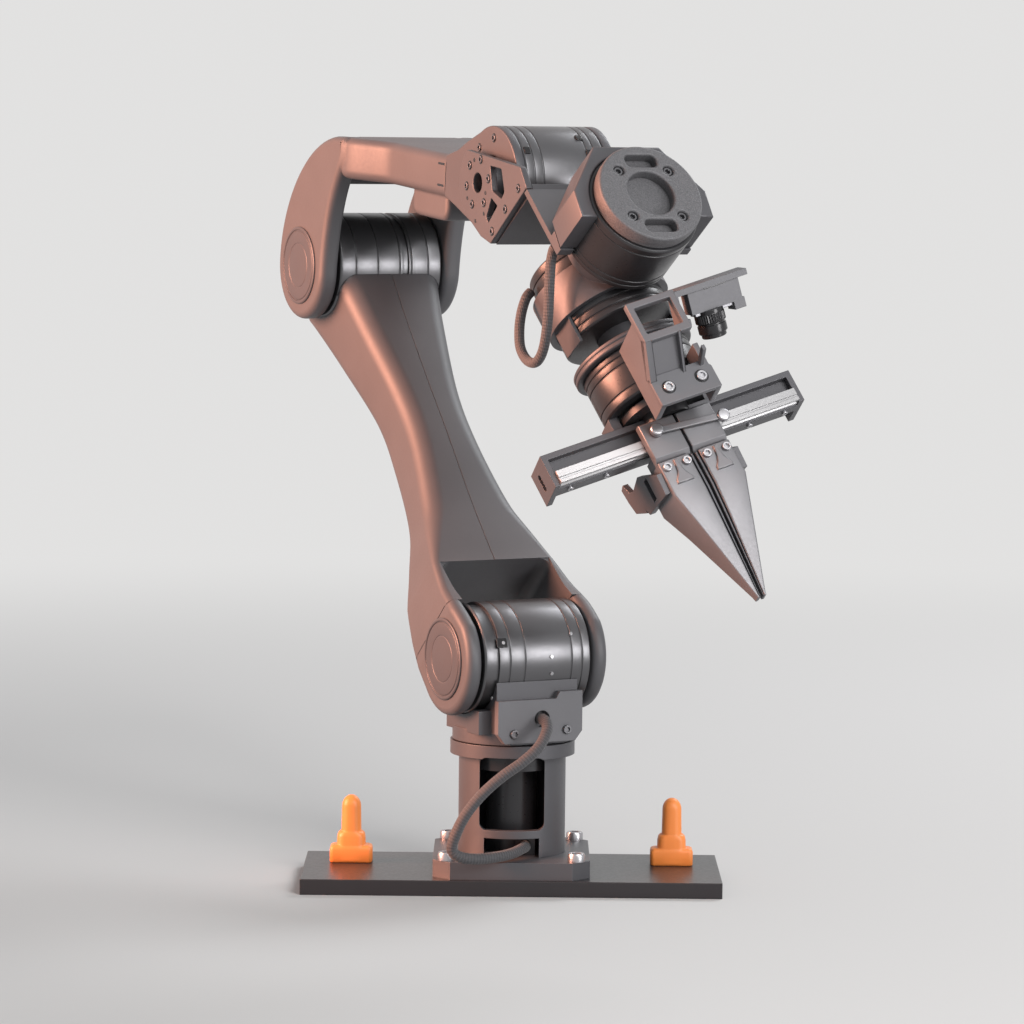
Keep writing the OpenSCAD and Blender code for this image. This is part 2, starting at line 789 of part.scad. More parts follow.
// Tapering finger with a flat gripping face
module finger(side) {
    y0 = finger_gap / 2;
    knee = finger_heel + finger_knee * (finger_tip - finger_heel);
    at_roll() mirror([0, side > 0 ? 0 : 1, 0])
        hull() {
            block([finger_heel, y0, finger_back], [finger_heel + finger_w, y0 + finger_w, block_hi]);
            block([knee - 2, y0, finger_back + 4], [knee, y0 + finger_knee_w, block_hi - 2]);
            block([finger_tip - 2, y0, -2], [finger_tip, y0 + finger_tip_w, 3]);
        }
}
module left_finger() { color("#77787c") finger(-1); }
module right_finger() { color("#77787c") finger(1); }

// Clip on a finger's outer side
module clip(side) {
    y0 = finger_gap / 2 + finger_w;
    at_roll() mirror([0, side > 0 ? 0 : 1, 0])
        side_plate(y0, y0 + clip_t)
            difference() {
                union() {
                    polygon(clip_head);
                    polygon(clip_tail);
                }
                translate(clip_slot_at) square(clip_slot, center = true);
            }
}
module left_clip() { color("#6a6b70") clip(-1); }
module right_clip() { color("#6a6b70") clip(1); }

// Camera on its bracket

// Bent bracket: a square loop, a web down to the screw plate, and a tall and a low wall on the motor
module camera_bracket() {
    loop_window = loop_x[0] + loop_bar;
    color("#6a6b70") at_roll()
        difference() {
            union() {
                block([loop_x[0], loop_y[0], loop_z[0]], [loop_x[1], loop_y[1], loop_z[1]]);
                block([screw_plate_x[0], screw_plate_y[0], screw_plate_z[0]],
                    [screw_plate_x[1], screw_plate_y[1], screw_plate_z[1]]);
                side_plate(loop_y[0], loop_y[1])
                    polygon([[loop_x[1] - 3, loop_z[0]], [loop_x[1], loop_z[1]],
                        [screw_plate_x[0] + 3, screw_plate_z[1]], [screw_plate_x[0], screw_plate_z[0]]]);
                side_plate(screw_plate_y[0], screw_plate_y[0] + bracket_wall)
                    polygon([[bracket_wall_x, bracket_foot], [screw_plate_x[1], bracket_foot],
                        [screw_plate_x[1], screw_plate_z[0] + 1], [screw_plate_x[0], screw_plate_z[0] + 1],
                        [loop_x[1], loop_z[0] + 1], [bracket_wall_x, loop_z[0] + 1]]);
                block([loop_x[1], screw_plate_y[1] - bracket_wall, bracket_foot],
                    [screw_plate_x[1], screw_plate_y[1], screw_plate_z[0] + 1]);
            }
            block([loop_window, loop_y[0] + loop_bar, 0],
                [loop_x[1] - loop_bar, loop_y[1] - loop_bar, 2 * loop_z[1]]);
            along_x(grip_r, 0, 2 * rail_out);
            block([grip_hi, -grip_r, 0], [2 * rail_out, grip_r, bracket_foot + 4]);
        }
}
module at_camera() { at_roll() translate(camera_at) rotate([0, camera_tilt, 0]) children(); }
// Back plate with a side wall and two front tabs around the camera's box
module camera_body() {
    color("#4a4b51") at_camera()
        union() {
            block([0, 0, -camera_h], [camera_back_t, camera_w, 0]);
            block([0, 0, -camera_h], [camera_l, camera_wall, 0]);
            block([camera_l - camera_tab.y, 0, -camera_h], [camera_l, camera_tab.x, 0]);
            block([camera_back_t - 1, camera_box[0], -camera_h], [camera_box_l, camera_box[1], -1]);
            block([camera_box_l - 1, camera_box[1] - camera_tab.x, -camera_h],
                [camera_l, camera_box[1] + 1, -1]);
        }
}
module camera_lens() {
    color("#202124") at_camera() translate([0, lens_at.x, lens_at.y]) along_x(lens_r, lens_lo, lens_hi);
}

base_plate();
left_post();
right_post();
base_flange();
pedestal();
yaw_drive();
base_cable();
turret();
saddle_plate();
shoulder_motor();
upper_arm_shell();
left_shoulder_cap();
right_shoulder_cap();
elbow_motor();
forearm_beam();
left_elbow_cheek();
right_elbow_cheek();
left_elbow_cap();
right_elbow_cap();
left_wrist_lobe();
right_wrist_lobe();
pitch_motor();
left_pitch_plate();
right_pitch_plate();
cross_plate();
yaw_collar();
yaw_cap();
yaw_motor();
roll_yoke();
roll_motor();
wrist_cable();
roll_flange();
gripper_motor();
rail_frame();
steel_rail();
crank_disc();
camera_bracket();
camera_body();
camera_lens();
left_finger();
left_carriage();
left_clip();
right_finger();
right_carriage();
right_clip();
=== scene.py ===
# %% [markdown]
# # A desktop robot arm, dressed for its portrait
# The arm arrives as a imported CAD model: nine bodies joined by motors. This lesson loads it as a fixed
# frame, reads the joints to find each link's own axes, and then adds what a camera sees: cables, turned
# motor barrels, rounded shells, screws and finishes.

# %% Load the frame
import json
import bpy
import numpy as np
from mathutils import Matrix
from mathutils.geometry import tessellate_polygon

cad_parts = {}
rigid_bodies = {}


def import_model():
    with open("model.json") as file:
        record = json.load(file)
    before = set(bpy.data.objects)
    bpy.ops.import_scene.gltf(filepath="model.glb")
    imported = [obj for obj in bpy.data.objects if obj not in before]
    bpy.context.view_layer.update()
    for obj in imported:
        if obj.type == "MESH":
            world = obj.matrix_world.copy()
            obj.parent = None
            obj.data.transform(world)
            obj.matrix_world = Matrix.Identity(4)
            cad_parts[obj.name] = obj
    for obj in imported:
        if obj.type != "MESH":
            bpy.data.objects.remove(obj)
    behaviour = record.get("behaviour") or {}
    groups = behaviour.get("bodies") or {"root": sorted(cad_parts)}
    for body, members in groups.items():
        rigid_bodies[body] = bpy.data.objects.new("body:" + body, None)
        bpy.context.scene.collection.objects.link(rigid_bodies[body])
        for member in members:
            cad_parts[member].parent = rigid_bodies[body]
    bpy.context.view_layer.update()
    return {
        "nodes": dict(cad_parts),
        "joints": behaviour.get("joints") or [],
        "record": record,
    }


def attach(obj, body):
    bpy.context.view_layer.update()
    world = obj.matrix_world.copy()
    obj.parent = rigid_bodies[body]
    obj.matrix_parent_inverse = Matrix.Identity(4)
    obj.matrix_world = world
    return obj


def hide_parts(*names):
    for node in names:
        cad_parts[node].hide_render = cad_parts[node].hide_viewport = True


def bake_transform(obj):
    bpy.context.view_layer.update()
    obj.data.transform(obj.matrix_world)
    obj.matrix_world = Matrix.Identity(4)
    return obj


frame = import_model()
MM = 0.001

# %% [markdown]
# Every link has its own axes. They could be typed in again from the drawing, but the joints already hold
# them: a hinge's place and axis fix a link's frame. A frame here is a 3 x 3 matrix of axes and an origin
# in millimetres, so that a piece can be drawn in the link's own numbers.

# %% Frames of the links
joints = {j["name"]: j for j in frame["joints"]}


def spot(name):
    return np.array(joints[name]["pos_m"], float) / MM


def axis(name):
    a = np.array(joints[name]["axis"], float)
    return a / np.linalg.norm(a)


def axes_from(y=None, z=None, x=None):
    """Two known axes give the third as their cross product, in right-handed order."""
    if x is None:
        x = np.cross(y, z)
    if y is None:
        y = np.cross(z, x)
    if z is None:
        z = np.cross(x, y)
    return np.stack([a / np.linalg.norm(a) for a in (x, y, z)], 1)


FOREARM = np.array([199.0, 0, 65.0])
WORLD = (np.eye(3), np.zeros(3))
across = axis("shoulder_pitch")
shoulder, elbow, wrist = spot("shoulder_pitch"), spot("elbow_pitch"), spot("wrist_pitch")
ARM = (axes_from(y=across, z=np.array([0, 0, 1.0])), shoulder)
UPPER = (axes_from(y=across, z=elbow - shoulder), shoulder)
reach = (wrist - elbow) / np.linalg.norm(wrist - elbow)
lift = np.cross(reach, across)
slope = np.arctan2(FOREARM[2], FOREARM[0])
FORE = (axes_from(x=reach * np.cos(slope) - lift * np.sin(slope), y=across), elbow)
PITCH = (axes_from(y=across, z=axis("wrist_yaw")), wrist)
YAW = (axes_from(x=axis("wrist_roll"), z=axis("wrist_yaw")), spot("wrist_yaw"))
GRIP = (axes_from(x=axis("wrist_roll"), y=-axis("finger_open")), spot("wrist_roll"))
print("upper arm", np.linalg.norm(elbow - shoulder).round(1), "mm; forearm slope", np.degrees(slope).round(1))


def along(place, letter):
    """The same place with its x axis laid along another of its axes, the order kept right-handed."""
    return place[0][:, {"x": [0, 1, 2], "y": [1, 2, 0], "z": [2, 0, 1]}[letter]], place[1]


def facing_side(place, side=-1):
    """The same place seen from one side: x stays, z stands up or down, and the new z points out along y."""
    return np.stack([place[0][:, 0], -side * place[0][:, 2], side * place[0][:, 1]], 1), place[1]


def outward(place, side):
    """The same place with its x axis laid along y, out of that side."""
    return np.stack([side * place[0][:, 1], place[0][:, 2], side * place[0][:, 0]], 1), place[1]


def moved(place, offset):
    return place[0], place[1] + place[0] @ np.asarray(offset, float)


def tilted(place, letter, degrees):
    """The same place turned about one of its own axes."""
    return place[0] @ np.array(Matrix.Rotation(np.radians(degrees), 3, letter.upper())), place[1]


PITCH_MOTOR = moved(FORE, FOREARM)
YAW_MOTOR = moved(PITCH, (68, 0, 0))
ARM_CAMERA = tilted(moved(GRIP, (45, 10, 55)), "y", 34)
SIDES = ((-1, "left"), (1, "right"))

# %% [markdown]
# ## Camera
# The photograph is taken from far away with a long lens, a little above the middle of the arm and tilted
# down by about five degrees. The place is in metres, and a slight roll levels the base plate as it shows.

# %% Camera
FOCAL_PX, IMAGE_PX, SENSOR = 4118, 1024, 36.0
CAMERA_SPOT = (-0.0015, -2.1, 0.38)
camera = bpy.data.objects.new("camera", bpy.data.cameras.new("camera"))
camera.data.sensor_width = SENSOR
camera.data.lens = FOCAL_PX / IMAGE_PX * SENSOR
camera.data.clip_end = 50
tilt_down, roll = np.radians(5.12), np.radians(0.6)
camera.matrix_world = (Matrix.Translation(CAMERA_SPOT) @ Matrix.Rotation(np.pi / 2 - tilt_down, 4, "X")
                       @ Matrix.Rotation(roll, 4, "Z"))
bpy.context.scene.collection.objects.link(camera)
bpy.context.scene.camera = camera
print("lens", round(camera.data.lens, 1), "mm")

# %% [markdown]
# ## From numbers to meshes
# A piece starts as a table of points, worked out all at once. `make` puts the table into a mesh in metres,
# smooths it but keeps corners sharper than a set angle, lets it ride on a body, and hides the plain solid
# that it stands for.

# %% Making a piece
made = []


def make(name, points, faces, place, body, look, stands_for=(), slot=None, uv=None, sharp=32):
    mesh = bpy.data.meshes.new(name)
    world = (np.asarray(points, float).reshape(-1, 3) @ place[0].T + place[1]) * MM
    mesh.from_pydata(world.tolist(), [], [list(map(int, f)) for f in faces])
    mesh.shade_smooth()
    mesh.set_sharp_from_angle(angle=np.radians(sharp))
    if uv is not None:
        corner = np.empty(len(mesh.loops), int)
        mesh.loops.foreach_get("vertex_index", corner)
        mesh.uv_layers.new(name="UVMap").data.foreach_set("uv", np.asarray(uv, np.float32)[corner].ravel())
    piece = bpy.data.objects.new(name, mesh)
    bpy.context.scene.collection.objects.link(piece)
    mesh.materials.append(look)
    if body:
        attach(piece, body)
    if stands_for:
        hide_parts(*np.atleast_1d(stands_for).tolist())
    made.append((name, len(mesh.polygons)))
    return piece


def ring_faces(rows, cols, first=0):
    """Quads between neighbouring closed rings of a table with that many rows and columns."""
    i, j = np.mgrid[:rows - 1, :cols]
    k = (j + 1) % cols
    near, far = first + i * cols, first + (i + 1) * cols
    return np.stack([near + j, near + k, far + k, far + j], -1).reshape(-1, 4)


def capped(rows, cols, first=0):
    """Ring quads with a flat face over the first ring and one over the last."""
    quads = ring_faces(rows, cols, first).tolist()
    last = first + (rows - 1) * cols
    return quads + [list(range(first + cols - 1, first - 1, -1)), list(range(last, last + cols))]


def flipped(faces):
    """The same faces turned to look the other way."""
    return [list(face)[::-1] for face in faces]


def placed(shape, place):
    """A shape's points laid out from a place's own axes into the world's millimetres."""
    points, faces = shape
    return points.reshape(-1, 3) @ place[0].T + place[1], faces


def joined(parts):
    """Several (points, faces) tables as one, each one's faces counted on from the points before."""
    points, faces, count = [], [], 0
    for p, f in parts:
        p = np.asarray(p, float).reshape(-1, 3)
        points.append(p)
        faces += [[int(v) + count for v in face] for face in f]
        count += len(p)
    return np.concatenate(points), faces


# %% [markdown]
# Turned parts such as motors, lenses and screws are one profile swept round an axis. Corners of a real
# turned part are never knife edges, so each corner of the profile becomes a small arc first.

# %% Turned surfaces
def eased(profile, radius, steps=3):
    """Each inner corner becomes an arc: a quadratic curve from radius before it to radius after it."""
    p = np.asarray(profile, float)
    a, b, c = p[:-2], p[1:-1], p[2:]
    back = np.linalg.norm(a - b, axis=1, keepdims=True)
    ahead = np.linalg.norm(c - b, axis=1, keepdims=True)
    start = b + (a - b) / back * np.minimum(radius, 0.45 * back)
    stop = b + (c - b) / ahead * np.minimum(radius, 0.45 * ahead)
    t = np.linspace(0, 1, steps + 1)[None, :, None]
    arcs = (1 - t) ** 2 * start[:, None] + 2 * t * (1 - t) * b[:, None] + t ** 2 * stop[:, None]
    return np.concatenate([p[:1], arcs.reshape(-1, 2), p[-1:]])


def turned(profile, sides=72, radius=0.5):
    """Points (along, radius cos q, radius sin q) for each profile pair (along, radius) and angle q."""
    a, r = eased(profile, radius).T
    q = np.linspace(0, 2 * np.pi, sides, endpoint=False)
    grid = np.stack(np.broadcast_arrays(a[:, None], r[:, None] * np.cos(q), r[:, None] * np.sin(q)), -1)
    return grid.reshape(-1, 3), capped(len(a), sides)


# %% [markdown]
# Plates are outlines carried through their thickness. The outline is drawn in a little at both faces, in
# steps of a quarter circle, which gives the broken edge that catches light on a milled plate. Holes are
# outlines that run the other way round, so the same rule draws their rims too.

# %% Plates
def arc(centre, radius, start, stop, n=24):
    q = np.radians(np.linspace(start, stop, n))
    return np.asarray(centre, float) + radius * np.stack([np.cos(q), np.sin(q)], -1)


def disc_hole(centre, radius, n=28):
    return arc(centre, radius, 360, 0, n + 1)[:-1]


def rounded(corners, radius, steps=5):
    """A closed outline whose corners become quadratic arcs of about that radius."""
    p = np.asarray(corners, float)
    loop = eased(np.concatenate([p[-1:], p, p[:1]]), radius, steps)
    return loop[1:-1]


def box_loop(x0, x1, y0, y1, radius=0.8, steps=5):
    return rounded([(x0, y0), (x1, y0), (x1, y1), (x0, y1)], radius, steps)


def drawn_in(loop, depth):
    """Moves an outline to its left by depth: each point along the mean of its two edges' normals."""
    d = np.roll(loop, -1, 0) - loop
    d /= np.linalg.norm(d, axis=1, keepdims=True)
    n = np.stack([-d[:, 1], d[:, 0]], -1)
    m = n + np.roll(n, 1, 0)
    return loop + depth * m / (1 + np.sum(n * np.roll(n, 1, 0), 1, keepdims=True))


def slab(loops, low, high, edge=0.6, steps=3):
    """Outlines carried from low to high. At each face the edge is a quarter circle: drawn in by
    edge (1 - sin t) while it rises by edge (1 - cos t)."""
    t = np.linspace(0, np.pi / 2, steps + 1)
    inset = np.concatenate([edge * (1 - np.sin(t)), edge * (1 - np.sin(t))[::-1]])
    level = np.concatenate([low + edge * (1 - np.cos(t)), high - edge * (1 - np.cos(t))[::-1]])
    parts, tops = [], []
    for loop in loops:
        rings = np.stack([np.c_[drawn_in(loop, i), np.full(len(loop), z)] for i, z in zip(inset, level)])
        parts.append((rings, ring_faces(len(rings), len(loop))))
        tops.append(rings[-1])
    flat = np.concatenate(tops)
    tris = np.array(tessellate_polygon([[tuple(p) for p in loop] for loop in tops]))
    u, v = flat[tris[:, 1]] - flat[tris[:, 0]], flat[tris[:, 2]] - flat[tris[:, 0]]
    turn = (u[:, 0] * v[:, 1] - u[:, 1] * v[:, 0]) < 0
    tris[turn] = tris[turn][:, ::-1]
    under = flat.copy()
    under[:, 2] = low
    return joined(parts + [(flat, tris), (under, tris[:, ::-1])])


def sided(loops, low, high, side, edge=0.6, steps=3):
    """A slab from low to high for the left side, or from -high to -low for the right."""
    return slab(loops, low, high, edge, steps) if side < 0 else slab(loops, -high, -low, edge, steps)


def upright(shape):
    """A slab drawn in (x, z), with its thickness turned towards -y."""
    points, faces = shape
    return np.stack([points[:, 0], -points[:, 2], points[:, 1]], -1), faces


# %% [markdown]
# ## Finishes
# The arm is anodised charcoal aluminium and matt charcoal shells around dark motor barrels, with a grained
# moulded cap, a ground steel rail and orange plastic posts. Each finish has a faint mottle in its colour and
# gloss, a fine grain as bump, and edges that are softened and a little worn. The softening reads the
# surface nearby, so flat CAD solids get the same broken edges as the modelled pieces.

# %% A procedural finish
def finish(name, colour, rough, metallic=0.0, mottle=0.12, grain=700, bump=0.05, edge=0.5, wear=0.25,
           speckle=False):
    """Colour is mottled by one noise, gloss and bump come from a finer one, and worn edges are paler where
    the softened normal leaves the true one. With speckle the finer noise mottles the colour too."""
    m = bpy.data.materials.new(name)
    m.use_nodes = True
    n, link = m.node_tree.nodes, m.node_tree.links.new
    shader = n["Principled BSDF"]
    shader.inputs["Metallic"].default_value = metallic
    where = n.new("ShaderNodeTexCoord")
    broad, fine = n.new("ShaderNodeTexNoise"), n.new("ShaderNodeTexNoise")
    for noise, scale, detail in ((broad, 45, 4), (fine, grain, 3)):
        noise.inputs["Scale"].default_value = scale
        noise.inputs["Detail"].default_value = detail
        link(where.outputs["Object"], noise.inputs["Vector"])
    soft, true, dot = n.new("ShaderNodeBevel"), n.new("ShaderNodeNewGeometry"), n.new("ShaderNodeVectorMath")
    soft.samples = 4
    soft.inputs["Radius"].default_value = edge * MM
    dot.operation = "DOT_PRODUCT"
    link(soft.outputs["Normal"], dot.inputs[0])
    link(true.outputs["Normal"], dot.inputs[1])
    worn = n.new("ShaderNodeMapRange")
    worn.inputs["From Min"].default_value, worn.inputs["From Max"].default_value = 1.0, 0.75
    worn.inputs["To Max"].default_value = wear
    link(dot.outputs["Value"], worn.inputs["Value"])
    tint, rub = n.new("ShaderNodeMix"), n.new("ShaderNodeMix")
    tint.data_type = rub.data_type = "RGBA"
    base = np.array(colour, float)
    tint.inputs["A"].default_value = (*(base * (1 - mottle)), 1)
    tint.inputs["B"].default_value = (*np.minimum(base * (1 + mottle), 1), 1)
    rub.inputs["B"].default_value = (*np.minimum(base * 2.2 + 0.05, 1), 1)
    link((fine if speckle else broad).outputs["Fac"], tint.inputs["Factor"])
    link(tint.outputs["Result"], rub.inputs["A"])
    link(worn.outputs["Result"], rub.inputs["Factor"])
    link(rub.outputs["Result"], shader.inputs["Base Color"])
    gloss = n.new("ShaderNodeMapRange")
    gloss.inputs["To Min"].default_value, gloss.inputs["To Max"].default_value = rough - 0.07, rough + 0.07
    link(fine.outputs["Fac"], gloss.inputs["Value"])
    link(gloss.outputs["Result"], shader.inputs["Roughness"])
    relief = n.new("ShaderNodeBump")
    relief.inputs["Strength"].default_value = bump
    relief.inputs["Distance"].default_value = 0.2 * MM
    link(fine.outputs["Fac"], relief.inputs["Height"])
    link(soft.outputs["Normal"], relief.inputs["Normal"])
    link(relief.outputs["Normal"], shader.inputs["Normal"])
    return m


black_metal = finish("black_metal", (0.020, 0.020, 0.023), 0.32, 0.1, edge=1.0)
charcoal_metal = finish("charcoal_metal", (0.080, 0.080, 0.088), 0.44, 0.35, edge=0.5)
charcoal_shell = finish("charcoal_shell", (0.085, 0.085, 0.092), 0.50, 0.1, edge=2.0, wear=0.1)
casting_shell = finish("casting_shell", (0.085, 0.085, 0.092), 0.50, 0.1, edge=0.12, wear=0.0)
motor_grey = finish("motor_grey", (0.13, 0.13, 0.137), 0.32, 0.85, bump=0.015, edge=0.1, wear=0.0)
box_metal = finish("box_metal", (0.115, 0.115, 0.125), 0.5, 0.1, edge=0.3, wear=0.1)
motor_black = finish("motor_black", (0.030, 0.030, 0.033), 0.30, 0.35, bump=0.015, edge=0.1, wear=0.0)
textured_cap = finish("textured_cap", (0.105, 0.105, 0.112), 0.55, 0.2, mottle=0.75, grain=1500, bump=0.9,
                      edge=0.6, speckle=True)
orange_plastic = finish("orange_plastic", (0.80, 0.24, 0.05), 0.42, 0.0, mottle=0.05, bump=0.05, edge=1.0,
                        wear=0.05)
rail_steel = finish("rail_steel", (0.46, 0.46, 0.47), 0.36, 0.9, mottle=0.02, bump=0.0, edge=0.1, wear=0.0)
screw_steel = finish("screw_steel", (0.42, 0.42, 0.44), 0.30, 0.9, bump=0.02, edge=0.2, wear=0.3)
screw_dark = finish("screw_dark", (0.16, 0.16, 0.17), 0.34, 0.85, bump=0.02, edge=0.2, wear=0.3)
finger_metal = finish("finger_metal", (0.16, 0.16, 0.17), 0.40, 0.5, edge=0.4, wear=0.2)
glass_dark = finish("glass_dark", (0.010, 0.012, 0.022), 0.08, 0.0, mottle=0.0, bump=0.0, edge=0.05, wear=0.0)
lens_black = finish("lens_black", (0.016, 0.016, 0.018), 0.25, 0.2, bump=0.02, edge=0.3)
finishes = dict(black_metal=black_metal, charcoal_metal=charcoal_metal, charcoal_shell=charcoal_shell,
                motor_black=motor_black, textured_cap=textured_cap, orange_plastic=orange_plastic,
                rail_steel=rail_steel, lens_black=lens_black)
print("finishes", sorted(finishes))


# %% [markdown]
# A braided cable sleeve is two sets of strands that wind in opposite directions. Along the cable's own UV
# map those are two diagonal stripes; their product gives the small diamonds where strands cross.

# %% Braided sleeve
def braid(name, colour):
    """Height is the product of two sines of (u + v) and (u - v); the colour follows it, as painted shade in
    the valleys and a painted highlight on the crossings.
    """
    m = bpy.data.materials.new(name)
    m.use_nodes = True
    n, link = m.node_tree.nodes, m.node_tree.links.new
    shader, where, split = n["Principled BSDF"], n.new("ShaderNodeTexCoord"), n.new("ShaderNodeSeparateXYZ")
    shader.inputs["Roughness"].default_value = 0.62
    shader.inputs["Sheen Weight"].default_value = 0.2
    link(where.outputs["UV"], split.inputs["Vector"])
    waves = []
    for operation in ("ADD", "SUBTRACT"):
        diagonal, turns, wave = (n.new("ShaderNodeMath") for _ in range(3))
        diagonal.operation, turns.operation, wave.operation = operation, "MULTIPLY", "SINE"
        turns.inputs[1].default_value = 2 * np.pi
        link(split.outputs["X"], diagonal.inputs[0])
        link(split.outputs["Y"], diagonal.inputs[1])
        link(diagonal.outputs["Value"], turns.inputs[0])
        link(turns.outputs["Value"], wave.inputs[0])
        waves.append(wave)
    cross, level = n.new("ShaderNodeMath"), n.new("ShaderNodeMapRange")
    tint, relief = n.new("ShaderNodeMix"), n.new("ShaderNodeBump")
    cross.operation = "MULTIPLY"
    link(waves[0].outputs["Value"], cross.inputs[0])
    link(waves[1].outputs["Value"], cross.inputs[1])
    level.inputs["From Min"].default_value = -1
    link(cross.outputs["Value"], level.inputs["Value"])
    # Painted shade and painted highlight: the valleys take 0.45 of the colour, the crossings 1.5 of it.
    tint.data_type = "RGBA"
    tint.inputs["A"].default_value = (*(np.array(colour) * 0.45), 1)
    tint.inputs["B"].default_value = (*(np.array(colour) * 1.5), 1)
    link(level.outputs["Result"], tint.inputs["Factor"])
    link(tint.outputs["Result"], shader.inputs["Base Color"])
    relief.inputs["Strength"].default_value = 0.7
    relief.inputs["Distance"].default_value = 0.3 * MM
    link(level.outputs["Result"], relief.inputs["Height"])
    link(relief.outputs["Normal"], shader.inputs["Normal"])
    return m


cable_black = braid("cable_black", (0.045, 0.045, 0.05))
finishes["cable_black"] = cable_black

# %% [markdown]
# ## Cables
# Two sleeved cables show. One leaves the saddle under the shoulder, swings out past the pedestal and comes
# back into its foot. The other leaves the plate under the yaw motor and loops down to the roll motor. The
# photograph shows the first from end to end and most of the second, so their lengths are the lengths of
# these routes. Each is laid in the world and stays there when the joints turn.

# %% Cables
BASE_CABLE_D, WRIST_CABLE_D = 5.6, 5.0
BASE_ROUTE = [
    (13.2, -23.9, 89), (15, -28, 89), (17, -34, 88), (17, -40, 84), (13, -46, 77), (5, -50, 70),
    (-5, -52, 63), (-15, -53, 54), (-23, -54, 44), (-28, -54, 34), (-30, -53, 26), (-26, -52, 22),
    (-18, -49, 20.5), (-8, -43, 20.5), (0, -35, 21), (5, -27, 22), (7, -20, 22), (7, -16.4, 22)]
WRIST_ROUTE = [
    (70, -33.2, 48.2), (70.8, -33.6, 45.5), (76, -34.5, 41), (87, -35, 33), (98, -35.5, 25),
    (107, -36, 15), (109, -36.5, 6), (104, -37, -1), (95, -37, -4), (86, -36, -2), (79, -35, 3),
    (73, -32.5, 7), (70, -29.4, 8)]


def smooth_route(route, k=10):
    """A curve through the points: between two of them a cubic whose end slopes are half the span beside."""
    p = np.asarray(route, float)
    q = np.concatenate([p[:1], p, p[-1:]])
    a, b, c, e = (q[i:len(q) - 3 + i, None] for i in range(4))
    t = (np.arange(k) / k)[None, :, None]
    square, cube = 2 * a - 5 * b + 4 * c - e, 3 * b - a - 3 * c + e
    curve = 0.5 * (2 * b + (c - a) * t + square * t ** 2 + cube * t ** 3)
    return np.concatenate([curve.reshape(-1, p.shape[1]), p[-1:]])


def tube(path, diameter, sides=20, pitch=0.32):
    """A circle carried along the path; UV counts braid strands along and around it."""
    d = np.gradient(path, axis=0)
    d /= np.linalg.norm(d, axis=1, keepdims=True)
    n = np.cross(d, (0.31, 0.17, 0.93))
    n /= np.linalg.norm(n, axis=1, keepdims=True)
    b = np.cross(d, n)
    q = np.linspace(0, 2 * np.pi, sides, endpoint=False)
    ring = np.cos(q)[None, :, None] * n[:, None] + np.sin(q)[None, :, None] * b[:, None]
    run = np.concatenate([[0], np.cumsum(np.linalg.norm(np.diff(path, axis=0), axis=1))])
    strands = np.round(np.pi * diameter * pitch)
    around = np.abs(np.linspace(-1, 1, sides, endpoint=False)) * strands
    uv = np.stack(np.meshgrid(run * pitch, around, indexing="ij"), -1)
    points = path[:, None] + diameter / 2 * ring
    return points.reshape(-1, 3), capped(len(path), sides), uv.reshape(-1, 2), run[-1]


def cable(name, node, route, diameter, place):
    """A sleeved tube along the smoothed route, laid in the world, that stands for the CAD cable node."""
    path = smooth_route(route)
    points, faces, uv, length = tube(path, diameter)
    piece = make(name, points, faces, place, None, cable_black, node, "cable_black", uv)
    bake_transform(piece)
    print(name, round(length, 1), "mm long")
    return piece


cable("base_sleeve", "base_cable", BASE_ROUTE, BASE_CABLE_D, WORLD)
cable("wrist_sleeve", "wrist_cable", WRIST_ROUTE, WRIST_CABLE_D, PITCH)

# %% [markdown]
# Tapering blocks are lofts: a table of stations, each a rectangle with round corners, joined into one skin.

# %% Lofts
def columns(table):
    return [c[:, None] for c in np.asarray(table, float).T]


def loft(rows, n=5):
    """Rows (along, y low, y high, z low, z high, corner) become rings of four arcs, closed at both ends."""
    a, y0, y1, z0, z1, r = columns(rows)
    c, s = r * np.cos(np.linspace(0, np.pi / 2, n)), r * np.sin(np.linspace(0, np.pi / 2, n))
    y = np.concatenate([y1 - r + c, y0 + r - s, y0 + r - c, y1 - r + s], 1)
    z = np.concatenate([z1 - r + s, z1 - r + c, z0 + r - s, z0 + r - c], 1)
    return np.stack(np.broadcast_arrays(a, y, z), -1), capped(*y.shape)


def mirrored(shape, side):
    """The shape as it is for +1, or its mirror image across y for -1."""
    points, faces = np.asarray(shape[0], float).reshape(-1, 3) * (1, side, 1), shape[1]
    return points, faces if side > 0 else flipped(faces)


# %% [markdown]
# ## Upper arm
# The upper arm is an hourglass casting. A table holds, for a few stations along it, the half width and the
# reach to the front and to the back; a smooth curve through the rows fills in the rest. Each row becomes a
# ring with round corners. Below the fork the casting is two prongs, plates that end in round cheeks.

# %% Upper arm casting
STATIONS = [(14, 40, 22, 30), (45, 36, 16, 30), (68, 31, 14.5, 25), (95, 24.6, 14, 22), (134, 19.4, 15, 24.5),
            (167, 19.6, 15, 24), (211, 25.4, 16, 29), (240, 29.8, 18, 33), (252, 30.2, 18, 37)]
UPPER_L, FORK_A, FORK_Y, CHEEK_Y, ELBOW_Y, CHEEK_R, MOTOR_R = 264, 50, 31.5, 40, 42, 29, 28.5
SOFT_EDGE, CORNER, CORNER_A, SEAM, SLIP = 3.6, 10, 85, 0.35, 0.1


def half_ring(w, f, b, r, low=0.0, seam=0.0, n=10):
    """From the front middle to the back middle of a rectangle whose two outer corners are arcs of radius r.
    It starts and stops at low, with a small groove of depth seam in front."""
    q = np.linspace(0, np.pi / 2, n)[None]
    x = np.concatenate([f - seam, f, f - r + r * np.cos(q), -b + r - r * np.sin(q), -b], 1)
    inner = low + 0 * w
    y = np.concatenate([inner, inner + seam, w - r + r * np.sin(q), w - r + r * np.cos(q), inner], 1)
    return x, y


